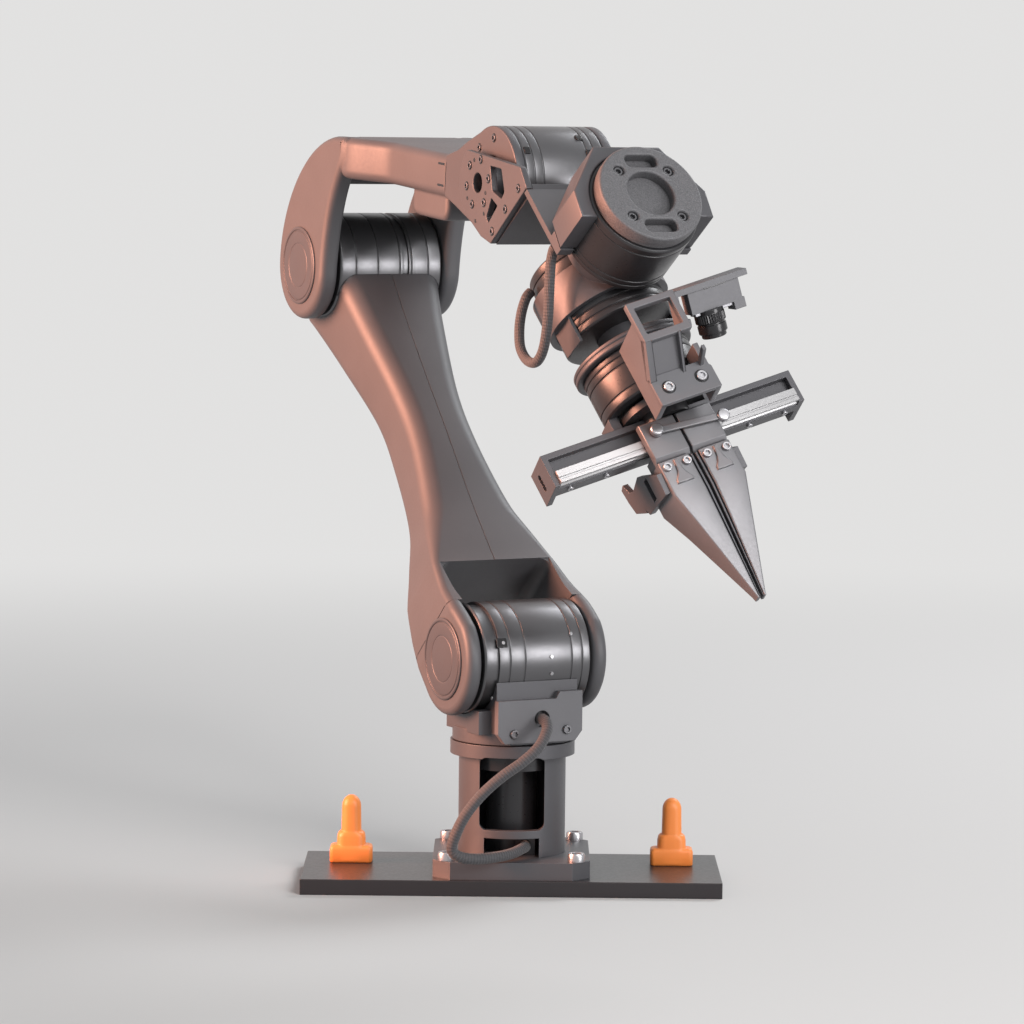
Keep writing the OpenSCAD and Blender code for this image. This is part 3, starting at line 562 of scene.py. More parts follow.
def casting(table):
    """Half rings and their mirror images across y; near the elbow they stop at the motor's circle."""
    a, w, f, b = columns(table)
    x, y = half_ring(w, f, b, np.interp(a, [FORK_A, CORNER_A], [SOFT_EDGE, CORNER]), seam=SEAM)
    x, y = np.c_[x, x[:, -2:0:-1]], np.c_[y, -y[:, -2:0:-1]]
    bore = UPPER_L - np.sqrt(np.maximum((MOTOR_R + SLIP) ** 2 - x ** 2, 0))
    z = np.where(np.abs(x) < MOTOR_R, np.minimum(a, bore), a)
    rows, cols = x.shape
    half, last = cols // 2, (rows - 1) * cols
    i = np.arange(1, half - 1)
    strip = np.stack([i, i + 1, cols - i - 1, cols - i], -1).tolist()
    strip = [[0, 1, cols - 1]] + strip + [[half - 1, half, half + 1]]
    ends = [[v + last for v in face] for face in strip] + flipped(strip)
    return np.stack([x, y, z], -1), flipped(ring_faces(rows, cols).tolist() + ends)


def leg(table, side):
    """Half rings that start and stop at the fork's inner face, carried up to the fork."""
    a, f, b = columns(table)
    w = np.interp(a, FLANK_A, flank_w)
    x, y = half_ring(w, f, b, np.minimum(SOFT_EDGE, w - FORK_Y - SLIP), low=FORK_Y)
    faces = capped(*x.shape)
    return np.stack([x, side * y, a + 0 * x], -1), flipped(faces) if side > 0 else faces


def cheek(outline, side):
    """A round plate with a soft edge, thinned along the arm so that it meets the leg above it."""
    points, faces = slab([outline], FORK_Y, CHEEK_Y, SOFT_EDGE, 6)
    x, z, y = points.T
    thick = np.interp(z, FLANK_A, flank_w) - FORK_Y
    points = np.stack([x, side * (FORK_Y + (y - FORK_Y) * thick / (CHEEK_Y - FORK_Y)), z], -1)
    return points, faces if side < 0 else flipped(faces)


def fillet(side, radius=6.0, back=-24, front=15, n=12):
    """A quarter circle in the fork's corner, carried from back to front and closed by two end faces."""
    yz = np.concatenate([[(FORK_Y, FORK_A)], arc((FORK_Y - radius, FORK_A - radius), radius, 90, 0, n)])
    points = np.concatenate([np.c_[np.full(n + 1, x), side * yz[:, 0], yz[:, 1]] for x in (back, front)])
    i = np.arange(1, n)
    strip = np.stack([i, i + 1, i + n + 2, i + n + 1], -1).tolist()
    faces = strip + [list(range(n, -1, -1)), list(range(n + 1, 2 * n + 2))]
    return points, flipped(faces) if side > 0 else faces


stations = smooth_route(STATIONS, 8)
above = stations[stations[:, 0] > FORK_A + 0.5]
at_fork = [np.interp(FORK_A, stations[:, 0], c) for c in stations.T]
FLANK_A, flank_w = [0, 14, 30, 45, FORK_A], [CHEEK_Y, CHEEK_Y, 38.2, 36, at_fork[1]]
reaches = [(0, CHEEK_R, CHEEK_R), (10, 26.8, 29.5), (20, 23.5, 30), (32, 19, 30.2), at_fork[:1] + at_fork[2:]]
sides = smooth_route(reaches, 8)
low, high = sides[sides[:, 0] < 20.1], sides[sides[:, 0] > 19.9]
hidden_end = [(19, 24), (-25.5, 24)]
foot = arc((0, 0), CHEEK_R, 180, 360, 60)[1:-1]
outline = np.concatenate([foot, low[:, [1, 0]], hidden_end, (low * (1, 1, -1))[::-1][:, [2, 0]]])
webs = [part(table, side) for side in (-1, 1) for part, table in ((leg, high), (cheek, outline))]
webs += [fillet(side) for side in (-1, 1)]
points, faces = joined([casting(np.concatenate([[at_fork], above]))] + webs)
make("upper_arm_casting", points, faces, UPPER, "upper_arm", casting_shell, "upper_arm_shell",
     "charcoal_shell", sharp=40)
print("upper arm", len(faces), "faces")

# %% [markdown]
# ## Forearm
# The forearm starts as a yoke with two cheeks around the elbow motor, bends over and draws in to a beam.
# Each cheek is a plate cut to the side outline with a broad soft edge; the beam is a stack of rounded rings,
# drawn in from the yoke's width by a smooth step.

# %% Forearm casting
BEAM_TOP, BEAM_LOW, BEAM_Y, BEAM_END, BEAM_EDGE = 74, 52, 28, 146, 5.0
YOKE_END, YOKE_Y, BRIDGE_END, BRIDGE_Y = 50, 40.5, 45, 33
DRAW_FROM, DRAW_L = 48, 34


def bezier(corners, n):
    """Cubic curve with weights (1-t)^3, 3t(1-t)^2, 3t^2(1-t), t^3 on its four corners."""
    t = np.linspace(0, 1, n)[:, None]
    weights = np.c_[(1 - t) ** 3, 3 * t * (1 - t) ** 2, 3 * t ** 2 * (1 - t), t ** 3]
    return weights @ np.asarray(corners, float)


rear = bezier([(-CHEEK_R, 0), (-CHEEK_R, 34), (2, BEAM_TOP - 3), (42, BEAM_TOP)], 24)
front = bezier([(57, 70), (42, BEAM_LOW), (31, 36), (CHEEK_R, 0)], 24)[::-1]
front = front[front[:, 0] < BRIDGE_END]
bend = rounded([(YOKE_END, 60), (YOKE_END, BEAM_TOP), (42, BEAM_TOP)], 3)[5:12]
outline = np.concatenate([arc((0, 0), CHEEK_R, 180, 360, 48)[1:-1], front, bend, rear[-2::-1]])
cheeks = [upright(sided([outline], FORK_Y, ELBOW_Y, side, SOFT_EDGE, 6)) for side in (-1, 1)]
x = np.concatenate([np.linspace(-13, BRIDGE_END - 1, 24), np.linspace(BRIDGE_END + 1, 84, 24),
                    np.linspace(88, BEAM_END, 10)])
step = np.clip((x - DRAW_FROM) / DRAW_L, 0, 1)
wide = np.where(x < BRIDGE_END, BRIDGE_Y, BEAM_Y + (YOKE_Y - BEAM_Y) * (1 - step ** 2 * (3 - 2 * step)))
top = np.interp(x, rear[:, 0], rear[:, 1]) - np.where(x < BRIDGE_END, 0.2, 0)
soft = np.minimum(BEAM_EDGE, np.maximum((top - BEAM_LOW) / 2 - 0.05, 0.05))
beam = loft(np.stack([x, -wide, wide, 0 * x + BEAM_LOW, top, soft], -1), 8)
pod = upright(slab([box_loop(100, 142, 39, 60, 7, 8)], -24, 24, 2.5, 5))
points, faces = joined([beam, pod] + cheeks)
make("forearm_casting", points, faces, FORE, "forearm", charcoal_shell,
     ("forearm_beam", "left_elbow_cheek", "right_elbow_cheek"), "charcoal_shell", sharp=40)
print("forearm", len(faces), "faces")

# %% [markdown]
# Round covers close the cheeks. Each is turned: a rim, a groove and a slightly sunk face.

# %% Round covers
COVER = np.array([(-1, 0), (-1, 21), (-0.4, 21), (0, 20.4), (0, 19.4), (-0.5, 19.2), (-0.5, 18.6),
                  (-0.1, 18.4), (-0.1, 12.2), (-0.3, 12.1), (-0.3, 11.7), (-0.1, 11.6), (-0.1, 0)])
CHEEKS = (("shoulder", UPPER, CHEEK_Y, "upper_arm"), ("elbow", FORE, ELBOW_Y, "forearm"))
for name, place, cheek_y, body in CHEEKS:
    cover = turned(COVER + (cheek_y + 1, 0), 96, 0.2)
    for side, word in SIDES:
        make(f"{word}_{name}_cover", *cover, outward(place, side), body, charcoal_metal, f"{word}_{name}_cap",
             "charcoal_metal")

# %% [markdown]
# ## Motors
# Every joint of the arm that shows its motor shows a round barrel. It is turned with chamfered ends and thin
# grooves where its rings meet, and the shoulder and elbow barrels have a thinner band too.

# %% Motor barrels
def ringed(low, high, radius, grooves=(), band=None, chamfer=0.9, depth=0.45, width=0.8):
    """A barrel with chamfered ends, a narrow groove at each given place and an optional thinner band, which
    is given as its start, its stop and its depth."""
    p = [(low, 0), (low, radius - chamfer), (low + chamfer, radius)]
    for g in sorted(grooves):
        p += [(g - width / 2, radius), (g - width / 4, radius - depth)]
        p += [(g + width / 4, radius - depth), (g + width / 2, radius)]
    p += [(high - chamfer, radius), (high, radius - chamfer), (high, 0)]
    p = np.array(p, float)
    if band:
        start, stop, thin = band[0], band[1], radius - band[2]
        p = p[(p[:, 0] <= start) | (p[:, 0] >= stop)]
        k = np.searchsorted(p[:, 0], start, side="right")
        p = np.insert(p, k, [(start, radius), (start, thin), (stop, thin), (stop, radius)], 0)
    return turned(p, 96, 0.25)


ARM_MOTOR_Y, CLAMP_TOP = 30.2, 83.5
MOTORS = [
    ("shoulder_barrel", "shoulder_motor", outward(ARM, 1), "turret",
     ringed(-ARM_MOTOR_Y, ARM_MOTOR_Y, MOTOR_R, (-16, -7.5, 19, 25), (-29, -22, 1.6))),
    ("elbow_barrel", "elbow_motor", outward(moved(UPPER, (0, 0, UPPER_L)), 1), "upper_arm",
     ringed(-ARM_MOTOR_Y, ARM_MOTOR_Y, MOTOR_R, (-21, -8, 5, 12, 22), (7, 10.5, 1.2))),
    ("pitch_barrel", "pitch_motor", outward(PITCH_MOTOR, 1), "forearm",
     ringed(-23, 23, MOTOR_R, (-18, -13, 13, 17))),
    ("yaw_barrel", "yaw_motor", along(YAW_MOTOR, "z"), "wrist_pitch_link",
     ringed(50, CLAMP_TOP, MOTOR_R, (53.5, 57, 79))),
    ("roll_barrel", "roll_motor", YAW, "wrist_yaw_link", ringed(-10, 33, MOTOR_R, (-5, 1, 25, 29))),
    ("gripper_barrel", "gripper_motor", GRIP, "gripper", ringed(50, 75, 28, (54, 58, 70))),
]
GREY_MOTORS = ("shoulder_motor", "elbow_motor", "pitch_motor")
for name, node, place, body, shape in MOTORS:
    make(name, *shape, place, body, motor_grey if node in GREY_MOTORS else motor_black, node, "motor_black")
flange = turned([(27, 0), (27, 11.5), (27.5, 12), (44, 12), (45, 15), (45, 30.4), (45.6, 31), (47, 31),
                 (47.2, 30.6), (47.8, 30.6), (48, 31), (49.4, 31), (50, 30.4), (50, 0)], 96, 0.2)
make("roll_disc", *flange, GRIP, "gripper", charcoal_metal, "roll_flange", "charcoal_metal")
print("motors", len(MOTORS))

# %% [markdown]
# Small tabs, plugs and set screws sit on the barrels. Each stands on a radius, so its place is a frame whose
# z axis is that radius.

# %% Tabs on the barrels
def on_barrel(place, degrees):
    """Frame on a barrel whose axis is the place's y: x along the axis, z out along the radius there."""
    q = np.radians(degrees)
    out = place[0] @ np.array([np.cos(q), 0, np.sin(q)])
    return np.stack([place[0][:, 1], np.cross(out, place[0][:, 1]), out], 1), place[1]


def tab(x, width, height, low, high):
    return slab([box_loop(x - width / 2, x + width / 2, -height / 2, height / 2, 0.5)], low, high, 0.25)


def dot(x, y, radius, low, high):
    """A flat disc at (x, y): a set screw, or in a dark finish the painted shade of a small hole or recess."""
    return slab([disc_hole((x, y), radius, 20)[::-1]], low, high, 0.08)


SUNK, PROUD = 28, 29.1
TABS = [  # name, place, body, finish, rows of (angle, along the axis, width, height)
    ("shoulder_plugs", ARM, "turret", lens_black, ((21, -20.4, 5.8, 5),)),
    ("shoulder_plates", ARM, "turret", rail_steel, ((-40, -19.3, 8.8, 2.0),)),
    ("pitch_plugs", PITCH_MOTOR, "forearm", lens_black,
     ((58, 11.6, 3.6, 3.4), (33, 14.8, 4.6, 8), (40, -20.4, 3.4, 4))),
]
for name, place, body, look, rows in TABS:
    stubs = [placed(tab(x, width, height, SUNK, PROUD), on_barrel(place, degrees))
             for degrees, x, width, height in rows]
    make(name, *joined(stubs), WORLD, body, look, (), "motor_black")
# Angle and place along the axis of each set screw
DOTS = ((4.4, 7.2), (-13, 7.7), (27, 19.6), (-42, 22.3), (-30, -18.6), (21, -19.6))
stubs = [placed(dot(x, 0, 0.9, SUNK, PROUD + 0.1), on_barrel(ARM, degrees)) for degrees, x in DOTS]
make("shoulder_dots", *joined(stubs), WORLD, "turret", screw_steel, (), "rail_steel")
# Two flat dark slabs in the beam's side: painted shade of two slots.
slit = tab(141, 8, 1.3, BEAM_Y - 0.4, BEAM_Y + 0.08)
slit_shades = [(slit[0] + np.array([0, z, 0]), slit[1]) for z in (58, 69)]
make("beam_slit_shade", *joined(slit_shades), facing_side(FORE), "forearm", lens_black, (), "charcoal_metal")

# %% [markdown]
# ## Wrist plates
# The wrist's side plates are cut from sheet: an outline with a round hub end, a slanting flank, a bore and
# two windows. The lobes on the beam hold the pitch motor between them.

# %% Wrist plates
HUB_R, BOLT_R, PLATE_IN, PLATE_OUT, LOBE_IN, LOBE_OUT = 20.5, 12.2, 32.6, 36, 23, 28
bolt_circle = [(BOLT_R * np.cos(t), BOLT_R * np.sin(t)) for t in np.radians([2, 65, 128, 190, 243, 297])]
upper_window = rounded([(1, 16.3), (12.5, 11.3), (21.4, 17.3), (20.4, 21.9), (9.1, 25.5)], 1.0)[::-1]
lower_window = rounded([(19.5, -1.4), (23.2, -1.2), (21.8, 11.7), (14.8, 8.4)], 0.8)[::-1]
plate = np.concatenate([rounded([(33, 43), (20, 43), (-HUB_R, 0.15)], 1.2)[0:12],
                        arc((0, 0), HUB_R, 182, 284, 40), [(24, -12), (33, -5)]])
plate_loops = [plate, disc_hole((0, 0), 5), upper_window, lower_window]
for side, word in SIDES:
    flat = sided(plate_loops, PLATE_IN, PLATE_OUT, side, 0.4)
    hub = turned([(20.6, 0), (20.6, 13), (32.8, 13), (32.8, 5.2), (22, 5.2), (22, 0)], 64, 0.3)
    hub = hub[0] @ np.array([(0, 0, -side), (1, 0, 0), (0, -side, 0)], float), hub[1]
    make(f"{word}_wrist_plate", *joined([flat, hub]), facing_side(PITCH), "wrist_pitch_link", charcoal_metal,
         f"{word}_pitch_plate", "charcoal_metal")
lobe = np.concatenate([[(-53, 9), (-53, -12), (-40, -16)], arc((0, 0), MOTOR_R, 238.5, 481.5, 90),
                       [(-30, 18), (-40, 13)]])
for side, word in SIDES:
    flat = sided([lobe, disc_hole((0, 0), 13.4, 48)], LOBE_IN, LOBE_OUT, side, 0.7)
    make(f"{word}_motor_lobe", *flat, facing_side(PITCH_MOTOR), "forearm", charcoal_metal,
         f"{word}_wrist_lobe", "charcoal_metal")

# %% [markdown]
# The clamp around the yaw motor is a thick plate open towards the gripper. The cap above it is moulded with a
# coarse grain: a disc with a centre hole, two slots and four counterbored screws.

# %% Yaw clamp and cap
clamp = np.concatenate([[(8, -36)], arc((0, 0), MOTOR_R, 286.3, 73.7, 80),
                        [(8, 36), (-7, 36), (-32.5, 18), (-32.5, -18), (-7, -36)]])
make("yaw_clamp", *slab([clamp], 56, CLAMP_TOP, 0.8), YAW_MOTOR, "wrist_pitch_link", charcoal_metal,
     "yaw_collar", "charcoal_metal")
CAP_R, CAP_SCREWS = 27, [(x, y) for x in (-13, 13) for y in (-13.5, 13.5)]
cap_loops = [arc((0, 0), CAP_R, 0, 360, 129)[:-1], disc_hole((0, 0), 12.3, 64)]
cap_loops += [box_loop(x - 3.5, x + 3.5, -8.5, 8.5, 3.3)[::-1] for x in (-18.5, 18.5)]
cap_loops += [disc_hole(c, 2.7) for c in CAP_SCREWS]
under = turned([(CLAMP_TOP, 0), (CLAMP_TOP, 26.2), (84, 26.6), (85.4, 26.6), (86, 26.2), (86, 0)], 96, 0.2)
under = under[0][:, [1, 2, 0]], under[1]
make("cap_disc", *joined([slab(cap_loops, 85.6, 92, 1.1, 5), under]), YAW_MOTOR, "wrist_pitch_link",
     textured_cap, "yaw_cap", "textured_cap")
print("pieces so far", len(made))

# %% [markdown]
# ## Gripper
# The fingers slide on a ground steel rail. Each finger is a tapering loft with a thin blade along its
# gripping face and a small flared rib at its root; a carriage block above the rail carries it.

# %% Rail, fingers and carriages
rail = np.array([(92.5, 0), (99, 0), (99, 1.8), (98.2, 2.4), (98.2, 3.6), (99, 4.2), (99, 6), (97.4, 6),
                 (97.1, 5.5), (96.3, 5.5), (96, 6), (92.5, 6), (92.5, 4.2), (93.3, 3.6), (93.3, 2.4),
                 (92.5, 1.8)])
make("ground_rail", *slab([rail], -66.5, 66.5, 0.12), facing_side(GRIP), "gripper", rail_steel, "steel_rail",
     "rail_steel")
FINGER_TOP, FINGER_Y, INNER_Y = 11.4, 19.7, 0.7
BLADE_TOP = FINGER_TOP - 0.6
finger_rows = [(108.5, 2.7, FINGER_Y, -13, FINGER_TOP, 0.9), (127, 2.6, FINGER_Y, -13, FINGER_TOP, 0.9),
               (143.6, 2.4, 14.7, -9, 9.4, 0.8), (184, 1.4, 2.9, -2.2, 3.2, 0.4),
               (186.5, 1.3, 2.3, -2, 3, 0.3)]
blade_rows = [(109, INNER_Y, 1.9, -11, BLADE_TOP, 0.3), (127, INNER_Y, 1.9, -11, BLADE_TOP, 0.3),
              (143.6, INNER_Y, 1.7, -8, 8.8, 0.3), (184, INNER_Y, 1.15, -2, 3, 0.2),
              (186.4, INNER_Y, 1.1, -1.8, 2.8, 0.2)]
block_rows = [(a, INNER_Y, FINGER_Y, 6.4, top, 0.5)
              for a, top in ((86.5, 10.6), (87.3, FINGER_TOP), (105.6, FINGER_TOP), (108.4, 9))]
tongue_rows = [(101.5, 2.7, 17.7, -6, 7.4, 0.5), (108.4, 2.7, 17.7, -6, 7.4, 0.5)]
flare = np.array([(0, 1.1), (3, 1.2), (6, 1.7), (8.5, 2.7), (10.5, 4.2), (12.5, 4.4)])
RIB_A, RIB_Y = 109.4, 11
rib = np.concatenate([np.c_[RIB_A + flare[:, 0], RIB_Y - flare[:, 1]],
                      np.c_[RIB_A + flare[:, 0], RIB_Y + flare[:, 1]][::-1]])
finger = joined([loft(finger_rows), slab([rib], 10.8, 12.7, 0.5)])
block = joined([loft(block_rows), loft(tongue_rows)])
for side, word in SIDES:
    for name, shape, look, node in (("finger_body", finger, finger_metal, f"{word}_finger"),
                                    ("finger_blade", loft(blade_rows), charcoal_metal, ()),
                                    ("carriage_block", block, finger_metal, f"{word}_carriage")):
        make(f"{word}_{name}", *mirrored(shape, side), GRIP, f"{word}_finger_slide", look, node,
             "charcoal_metal")

# %% [markdown]
# A bar with two round pins links the drive to the fingers. It lies just above the carriages, so that they
# slide out under it.

# %% Link bar
link = slab([rounded([(91, -15), (94.5, -15), (98.5, 24), (95, 24)], 1.4)], 12.4, 13.8, 0.4)
pin = turned([(12.2, 0), (12.2, 3.2), (14.6, 3.2), (15.2, 2.6), (15.2, 0)], 40, 0.3)
pins = [(pin[0][:, [1, 2, 0]] + np.array([x, y, 0]), pin[1]) for x, y in ((92.6, -13), (96.8, 22))]
make("link_bar", *link, GRIP, "gripper", finger_metal, (), "charcoal_metal")
make("link_pins", *joined(pins), GRIP, "gripper", screw_steel, (), "rail_steel")

# %% [markdown]
# ## The gripper's camera
# The lens is turned, with a knurled ring: its radius is dented by a cosine of the angle, many times round.
# A domed glass closes the front.

# %% Lens
LENS = moved(ARM_CAMERA, (0, 18, -6))
KNURLS, KNURL_DEPTH, KNURL_LOW, KNURL_HIGH = 36, 0.03, 16.1, 20.1
barrel = turned([(14, 0), (14, 7.3), (15.8, 7.3), (16.2, 7.5), (20, 7.5), (20.4, 7.3), (20.6, 6.6),
                 (21.4, 6.6), (21.6, 7.1), (25.4, 7.1), (25.8, 6.8), (25.9, 6.1), (27.6, 6.1), (28, 5.8),
                 (28, 5.1), (26.4, 4.7), (26.3, 0)], 144, 0.12)
a, y, z = barrel[0].T
dent = 1 - KNURL_DEPTH * (1 + np.cos(KNURLS * np.arctan2(z, y)))
barrel[0][:, 1:] *= np.where((a > KNURL_LOW) & (a < KNURL_HIGH), dent, 1.0)[:, None]
make("lens_barrel", *barrel, LENS, "gripper", lens_black, "camera_lens", "lens_black", sharp=25)
t = np.linspace(0, 1, 9)
glass = turned(np.c_[26.35 + 0.9 * np.sin(t * np.pi / 2), 4.6 * np.cos(t * np.pi / 2)], 48, 0.01)
make("lens_glass", *glass, LENS, "gripper", glass_dark, (), "lens_black", sharp=60)

# %% [markdown]
# The camera's neck is cut and bent from plate. It is made of slabs: a square frame, a screw plate, side
# walls, and a sunk web between a strut and the opening beside it. Slabs that stand on edge are drawn from
# the side and then turned up.

# %% Camera neck
def on_edge(loop, low, high):
    """A slab drawn in the gripper's (x, z) that stands on edge from low to high in y."""
    return upright(slab([np.array(loop, float)], -high, -low, 0.3))


STRUT = [(62, 51.2), (65, 55), (79, 39), (76, 36.2)]
neck = [slab([box_loop(43, 65, -16, 10), box_loop(46.4, 61, -12.8, 6.8)[::-1]], 51, 55, 0.4),
        slab([rounded([(76, -16), (92, -16), (92, 17), (80, 17), (76, 13)], 0.8)], 36, 39, 0.4),
        on_edge([(52, 24.2), (92, 24.2), (92, 37), (76, 37), (65, 52), (52, 52)], -16, -13),
        on_edge([(66, 24.2), (92, 24.2), (92, 37), (66, 37)], 14, 17),
        on_edge(STRUT, -16, -12.6),
        on_edge([(61.6, 51.2), (63.4, 52.6), (77.6, 37.4), (75.8, 36.2)], -13, 2.5),
        on_edge(STRUT, 2, 3.4),
        on_edge([(76.4, 37), (79.4, 37), (76, 50), (73.4, 50)], 11.4, 13.4)]
make("neck_plate", *joined(neck), GRIP, "gripper", box_metal, "camera_bracket", "charcoal_metal")
strip = slab([box_loop(13.8, 15.6, 9, 30, 0.4)], -8, -2.4, 0.2)
make("camera_strip", *strip, ARM_CAMERA, "gripper", screw_dark, (), "charcoal_metal")
# A thin flat dark slab on the camera: painted shade of a slot.
slit = slab([box_loop(2.9, 3.6, 16, 28, 0.2)], -1.2, -0.6, 0.05)
make("camera_slit_shade", *slit, ARM_CAMERA, "gripper", lens_black, (), "charcoal_metal")

# %% [markdown]
# ## Posts
# Two orange posts stand on the base plate: a rounded foot, a thicker step and a tapering upright with a
# domed top, all of them lofts along the vertical. Every row is centred on the post's own axis.

# %% Posts
def stack(rows, n):
    """Rows (height, half width, half depth, corner) as a loft about the vertical."""
    return loft([(a, -w, w, -d, d, r) for a, w, d, r in rows], n)


POST_X, POST_Y, STEM_TOP, STEM_R, STEM_CORNER, DOME = 83, 12.6, 37, 4.9, 4.4, 5.9
foot_rows = [(8, 10.4, 5.4, 1.6), (8.7, 11, 6, 2), (15, 11, 6, 2), (16.4, 10.6, 5.6, 1.9),
             (17, 9.4, 4.6, 1.6)]
step_rows = [(9, 7.6, 5.8, 4), (21, 7.3, 5.6, 4), (23, 6.9, 5.4, 4), (24, 6, 5, 4)]
stem_rows = [(9, 5.4, 5.6, 4.2), (STEM_TOP, STEM_R, STEM_R, STEM_CORNER)]
for v in np.linspace(0, np.pi / 2, 10)[1:-1]:
    narrow = STEM_R * np.cos(v)
    stem_rows.append((STEM_TOP + DOME * np.sin(v), narrow, narrow, STEM_CORNER * np.cos(v)))
post = joined([stack(foot_rows, 6), stack(step_rows, 8), stack(stem_rows, 10)])
for side, word in SIDES:
    make(f"{word}_peg", *post, along(moved(WORLD, (side * POST_X, POST_Y, 0)), "z"), "base", orange_plastic,
         f"{word}_post", "orange_plastic", sharp=50)

# %% [markdown]
# ## Screws
# Socket screws hold everything. One head is a ring table: the outer edge, the chamfer, a six-sided socket and
# its floor. Copies are placed by one matrix product for each place that carries them.

# %% Screw heads
# The second number widens the dark discs under the heads, which are painted shade.
SEATED, SHADE_WIDER = 0.4, 1.32


def head(radius, height, sides=24):
    """Rings (radius, height); the socket follows a hexagon: r cos(30) / cos(q mod 60 - 30 degrees)."""
    q = np.linspace(0, 2 * np.pi, sides, endpoint=False)
    hexagon = np.cos(np.pi / 6) / np.cos(q % (np.pi / 3) - np.pi / 6)
    circle = np.ones(sides)
    rings = [(1, 0, circle), (1, 0.8, circle), (0.9, 1, circle), (0.62, 1, hexagon), (0.58, 0.35, hexagon)]
    points = [np.c_[radius * r * k * np.cos(q), radius * r * k * np.sin(q), np.full(sides, height * h)]
              for r, h, k in rings]
    return np.concatenate(points), capped(len(rings), sides)


def screws(name, body, rows, look):
    """Each row is (place, spots, radius, height): a head at every spot, standing along the place's z."""
    parts = []
    for place, spots, radius, height in rows:
        points, faces = head(radius, height)
        parts += [placed((points + seat, faces), place) for seat in np.asarray(spots, float)]
    make(name, *joined(parts), WORLD, body, look, (), "rail_steel", sharp=30)


def at_level(spots, level):
    return [(x, y, level) for x, y in spots]


def shade_discs(name, body, rows):
    """Flat dark discs a little wider than the heads of the same rows, under them: painted shade of the gap
    round each head and, where a row has no head, the painted shade of an open hole.
    """
    parts = [placed(dot(x, y, SHADE_WIDER * radius, level - 0.5, level + 0.5), place)
             for place, spots, radius, _ in rows for x, y, level in spots]
    make(name, *joined(parts), WORLD, body, lens_black, (), "rail_steel")


def on_both_plates(spots, radius, height):
    """One row for the left wrist plate and its mirror image for the right one."""
    return [(facing_side(PITCH, side), at_level([(x, -side * y) for x, y in spots], PLATE_OUT - SEATED),
             radius, height) for side in (-1, 1)]


plate_spots = bolt_circle + [(27.5, 35.5), (28, 18), (29, 0)]
hole_spots = [(-11.4, 3.5), (9.2, 4.6), (-0.1, -13.6), (14.5, -12.4), (16.8, -2.6)]
plate_rows = on_both_plates(plate_spots, 1.8, 1.0)
cap_rows = [(YAW_MOTOR, at_level(CAP_SCREWS, 87.6), 2.4, 3.2)]
screws("plate_screws", "wrist_pitch_link", plate_rows + cap_rows, screw_dark)
# Dark discs round the plate screws and in the plates' open holes: painted shade.
shade_discs("plate_seats", "wrist_pitch_link", plate_rows + on_both_plates(hole_spots, 0.8, 0))
LOBE_BOLT_R = 22.5
lobe_spots = [(LOBE_BOLT_R * np.cos(v), LOBE_BOLT_R * np.sin(v)) for v in np.radians([90, 134, 250, 285])]
lobe_rows = [(facing_side(PITCH_MOTOR), at_level(lobe_spots, LOBE_OUT - SEATED), 1.8, 1.0)]
screws("lobe_screws", "forearm", lobe_rows, screw_dark)
# Dark discs round the lobe screws: painted shade.
shade_discs("lobe_seats", "forearm", lobe_rows)
base_spots = [(x, y) for x in (-33, 33) for y in (-33, 33)]
screws("base_screws", "base", [(WORLD, at_level(base_spots, 17), 4.4, 4.2)], screw_steel)
saddle_spots = [(-15, -36), (15, -35)]
screws("saddle_screws", "turret", [(along(ARM, "y"), at_level(saddle_spots, 31), 2.3, 1.6)], screw_dark)
bracket_rows = [(GRIP, at_level([(84, -8.5), (84, 9.5)], 38.6), 2.7, 1.8)]
screws("bracket_screws", "gripper", bracket_rows, screw_steel)
# Dark discs round the bracket screws: painted shade.
shade_discs("bracket_shade_discs", "gripper", bracket_rows)
for side, word in SIDES:
    finger_spots = at_level([(112, side * 5.6), (112, side * 16.4)], FINGER_TOP - 0.3)
    screws(f"{word}_finger_screws", f"{word}_finger_slide", [(GRIP, finger_spots, 2.3, 2.0)], screw_steel)
rail_spots = at_level([(y, -3) for y in (-60, -40, 40, 60)], 99.4)
screws("rail_screws", "gripper", [(along(GRIP, "y"), rail_spots, 1.6, 1.2)], screw_steel)
print("screw sets", sum("screws" in name for name, _ in made))

# %% [markdown]
# ## Carried-over solids
# Nodes whose CAD shape is already right keep it, and take the finish of their material slot.

# %% Finishes on the carried-over solids
paler = dict.fromkeys(("camera_body", "saddle_plate"), box_metal)
slots = {part["node"]: part["material_slot"] for part in frame["record"]["subparts"]}
for name, piece in frame["nodes"].items():
    piece.data.materials.clear()
    piece.data.materials.append(paler.get(name, finishes[slots[name]]))
print("pieces", [name for name, _ in made])

# %% [markdown]
# ## Stage and light
# The floor is one wide, pale, flat disc. Near the arm it is plain paper that takes the shadow; farther out
# it fades into the colour of the world behind it, so that no edge shows from any side. A large soft lamp in
# front and to the right lights the faces turned to the camera, a weaker one behind lifts the edges, a low
# one draws the bright band along the motors, and a warm lamp on the left gives the flanks their copper tone.
# The low and the warm lamp light the arm alone, so the floor stays plain.

# %% Floor
PALE = (0.76, 0.755, 0.75, 1)
FADE_FROM, FADE_TO = 0.45, 1.7


def seen(tree):
    """1 for rays that show the backdrop itself: from the camera, off a glossy face or through glass."""
    path = tree.nodes.new("ShaderNodeLightPath")
    total = path.outputs["Is Camera Ray"]
    for kind in ("Is Glossy Ray", "Is Transmission Ray"):
        add = tree.nodes.new("ShaderNodeMath")
        add.operation, add.use_clamp = "ADD", True
        tree.links.new(total, add.inputs[0])
        tree.links.new(path.outputs[kind], add.inputs[1])
        total = add.outputs[0]
    return total


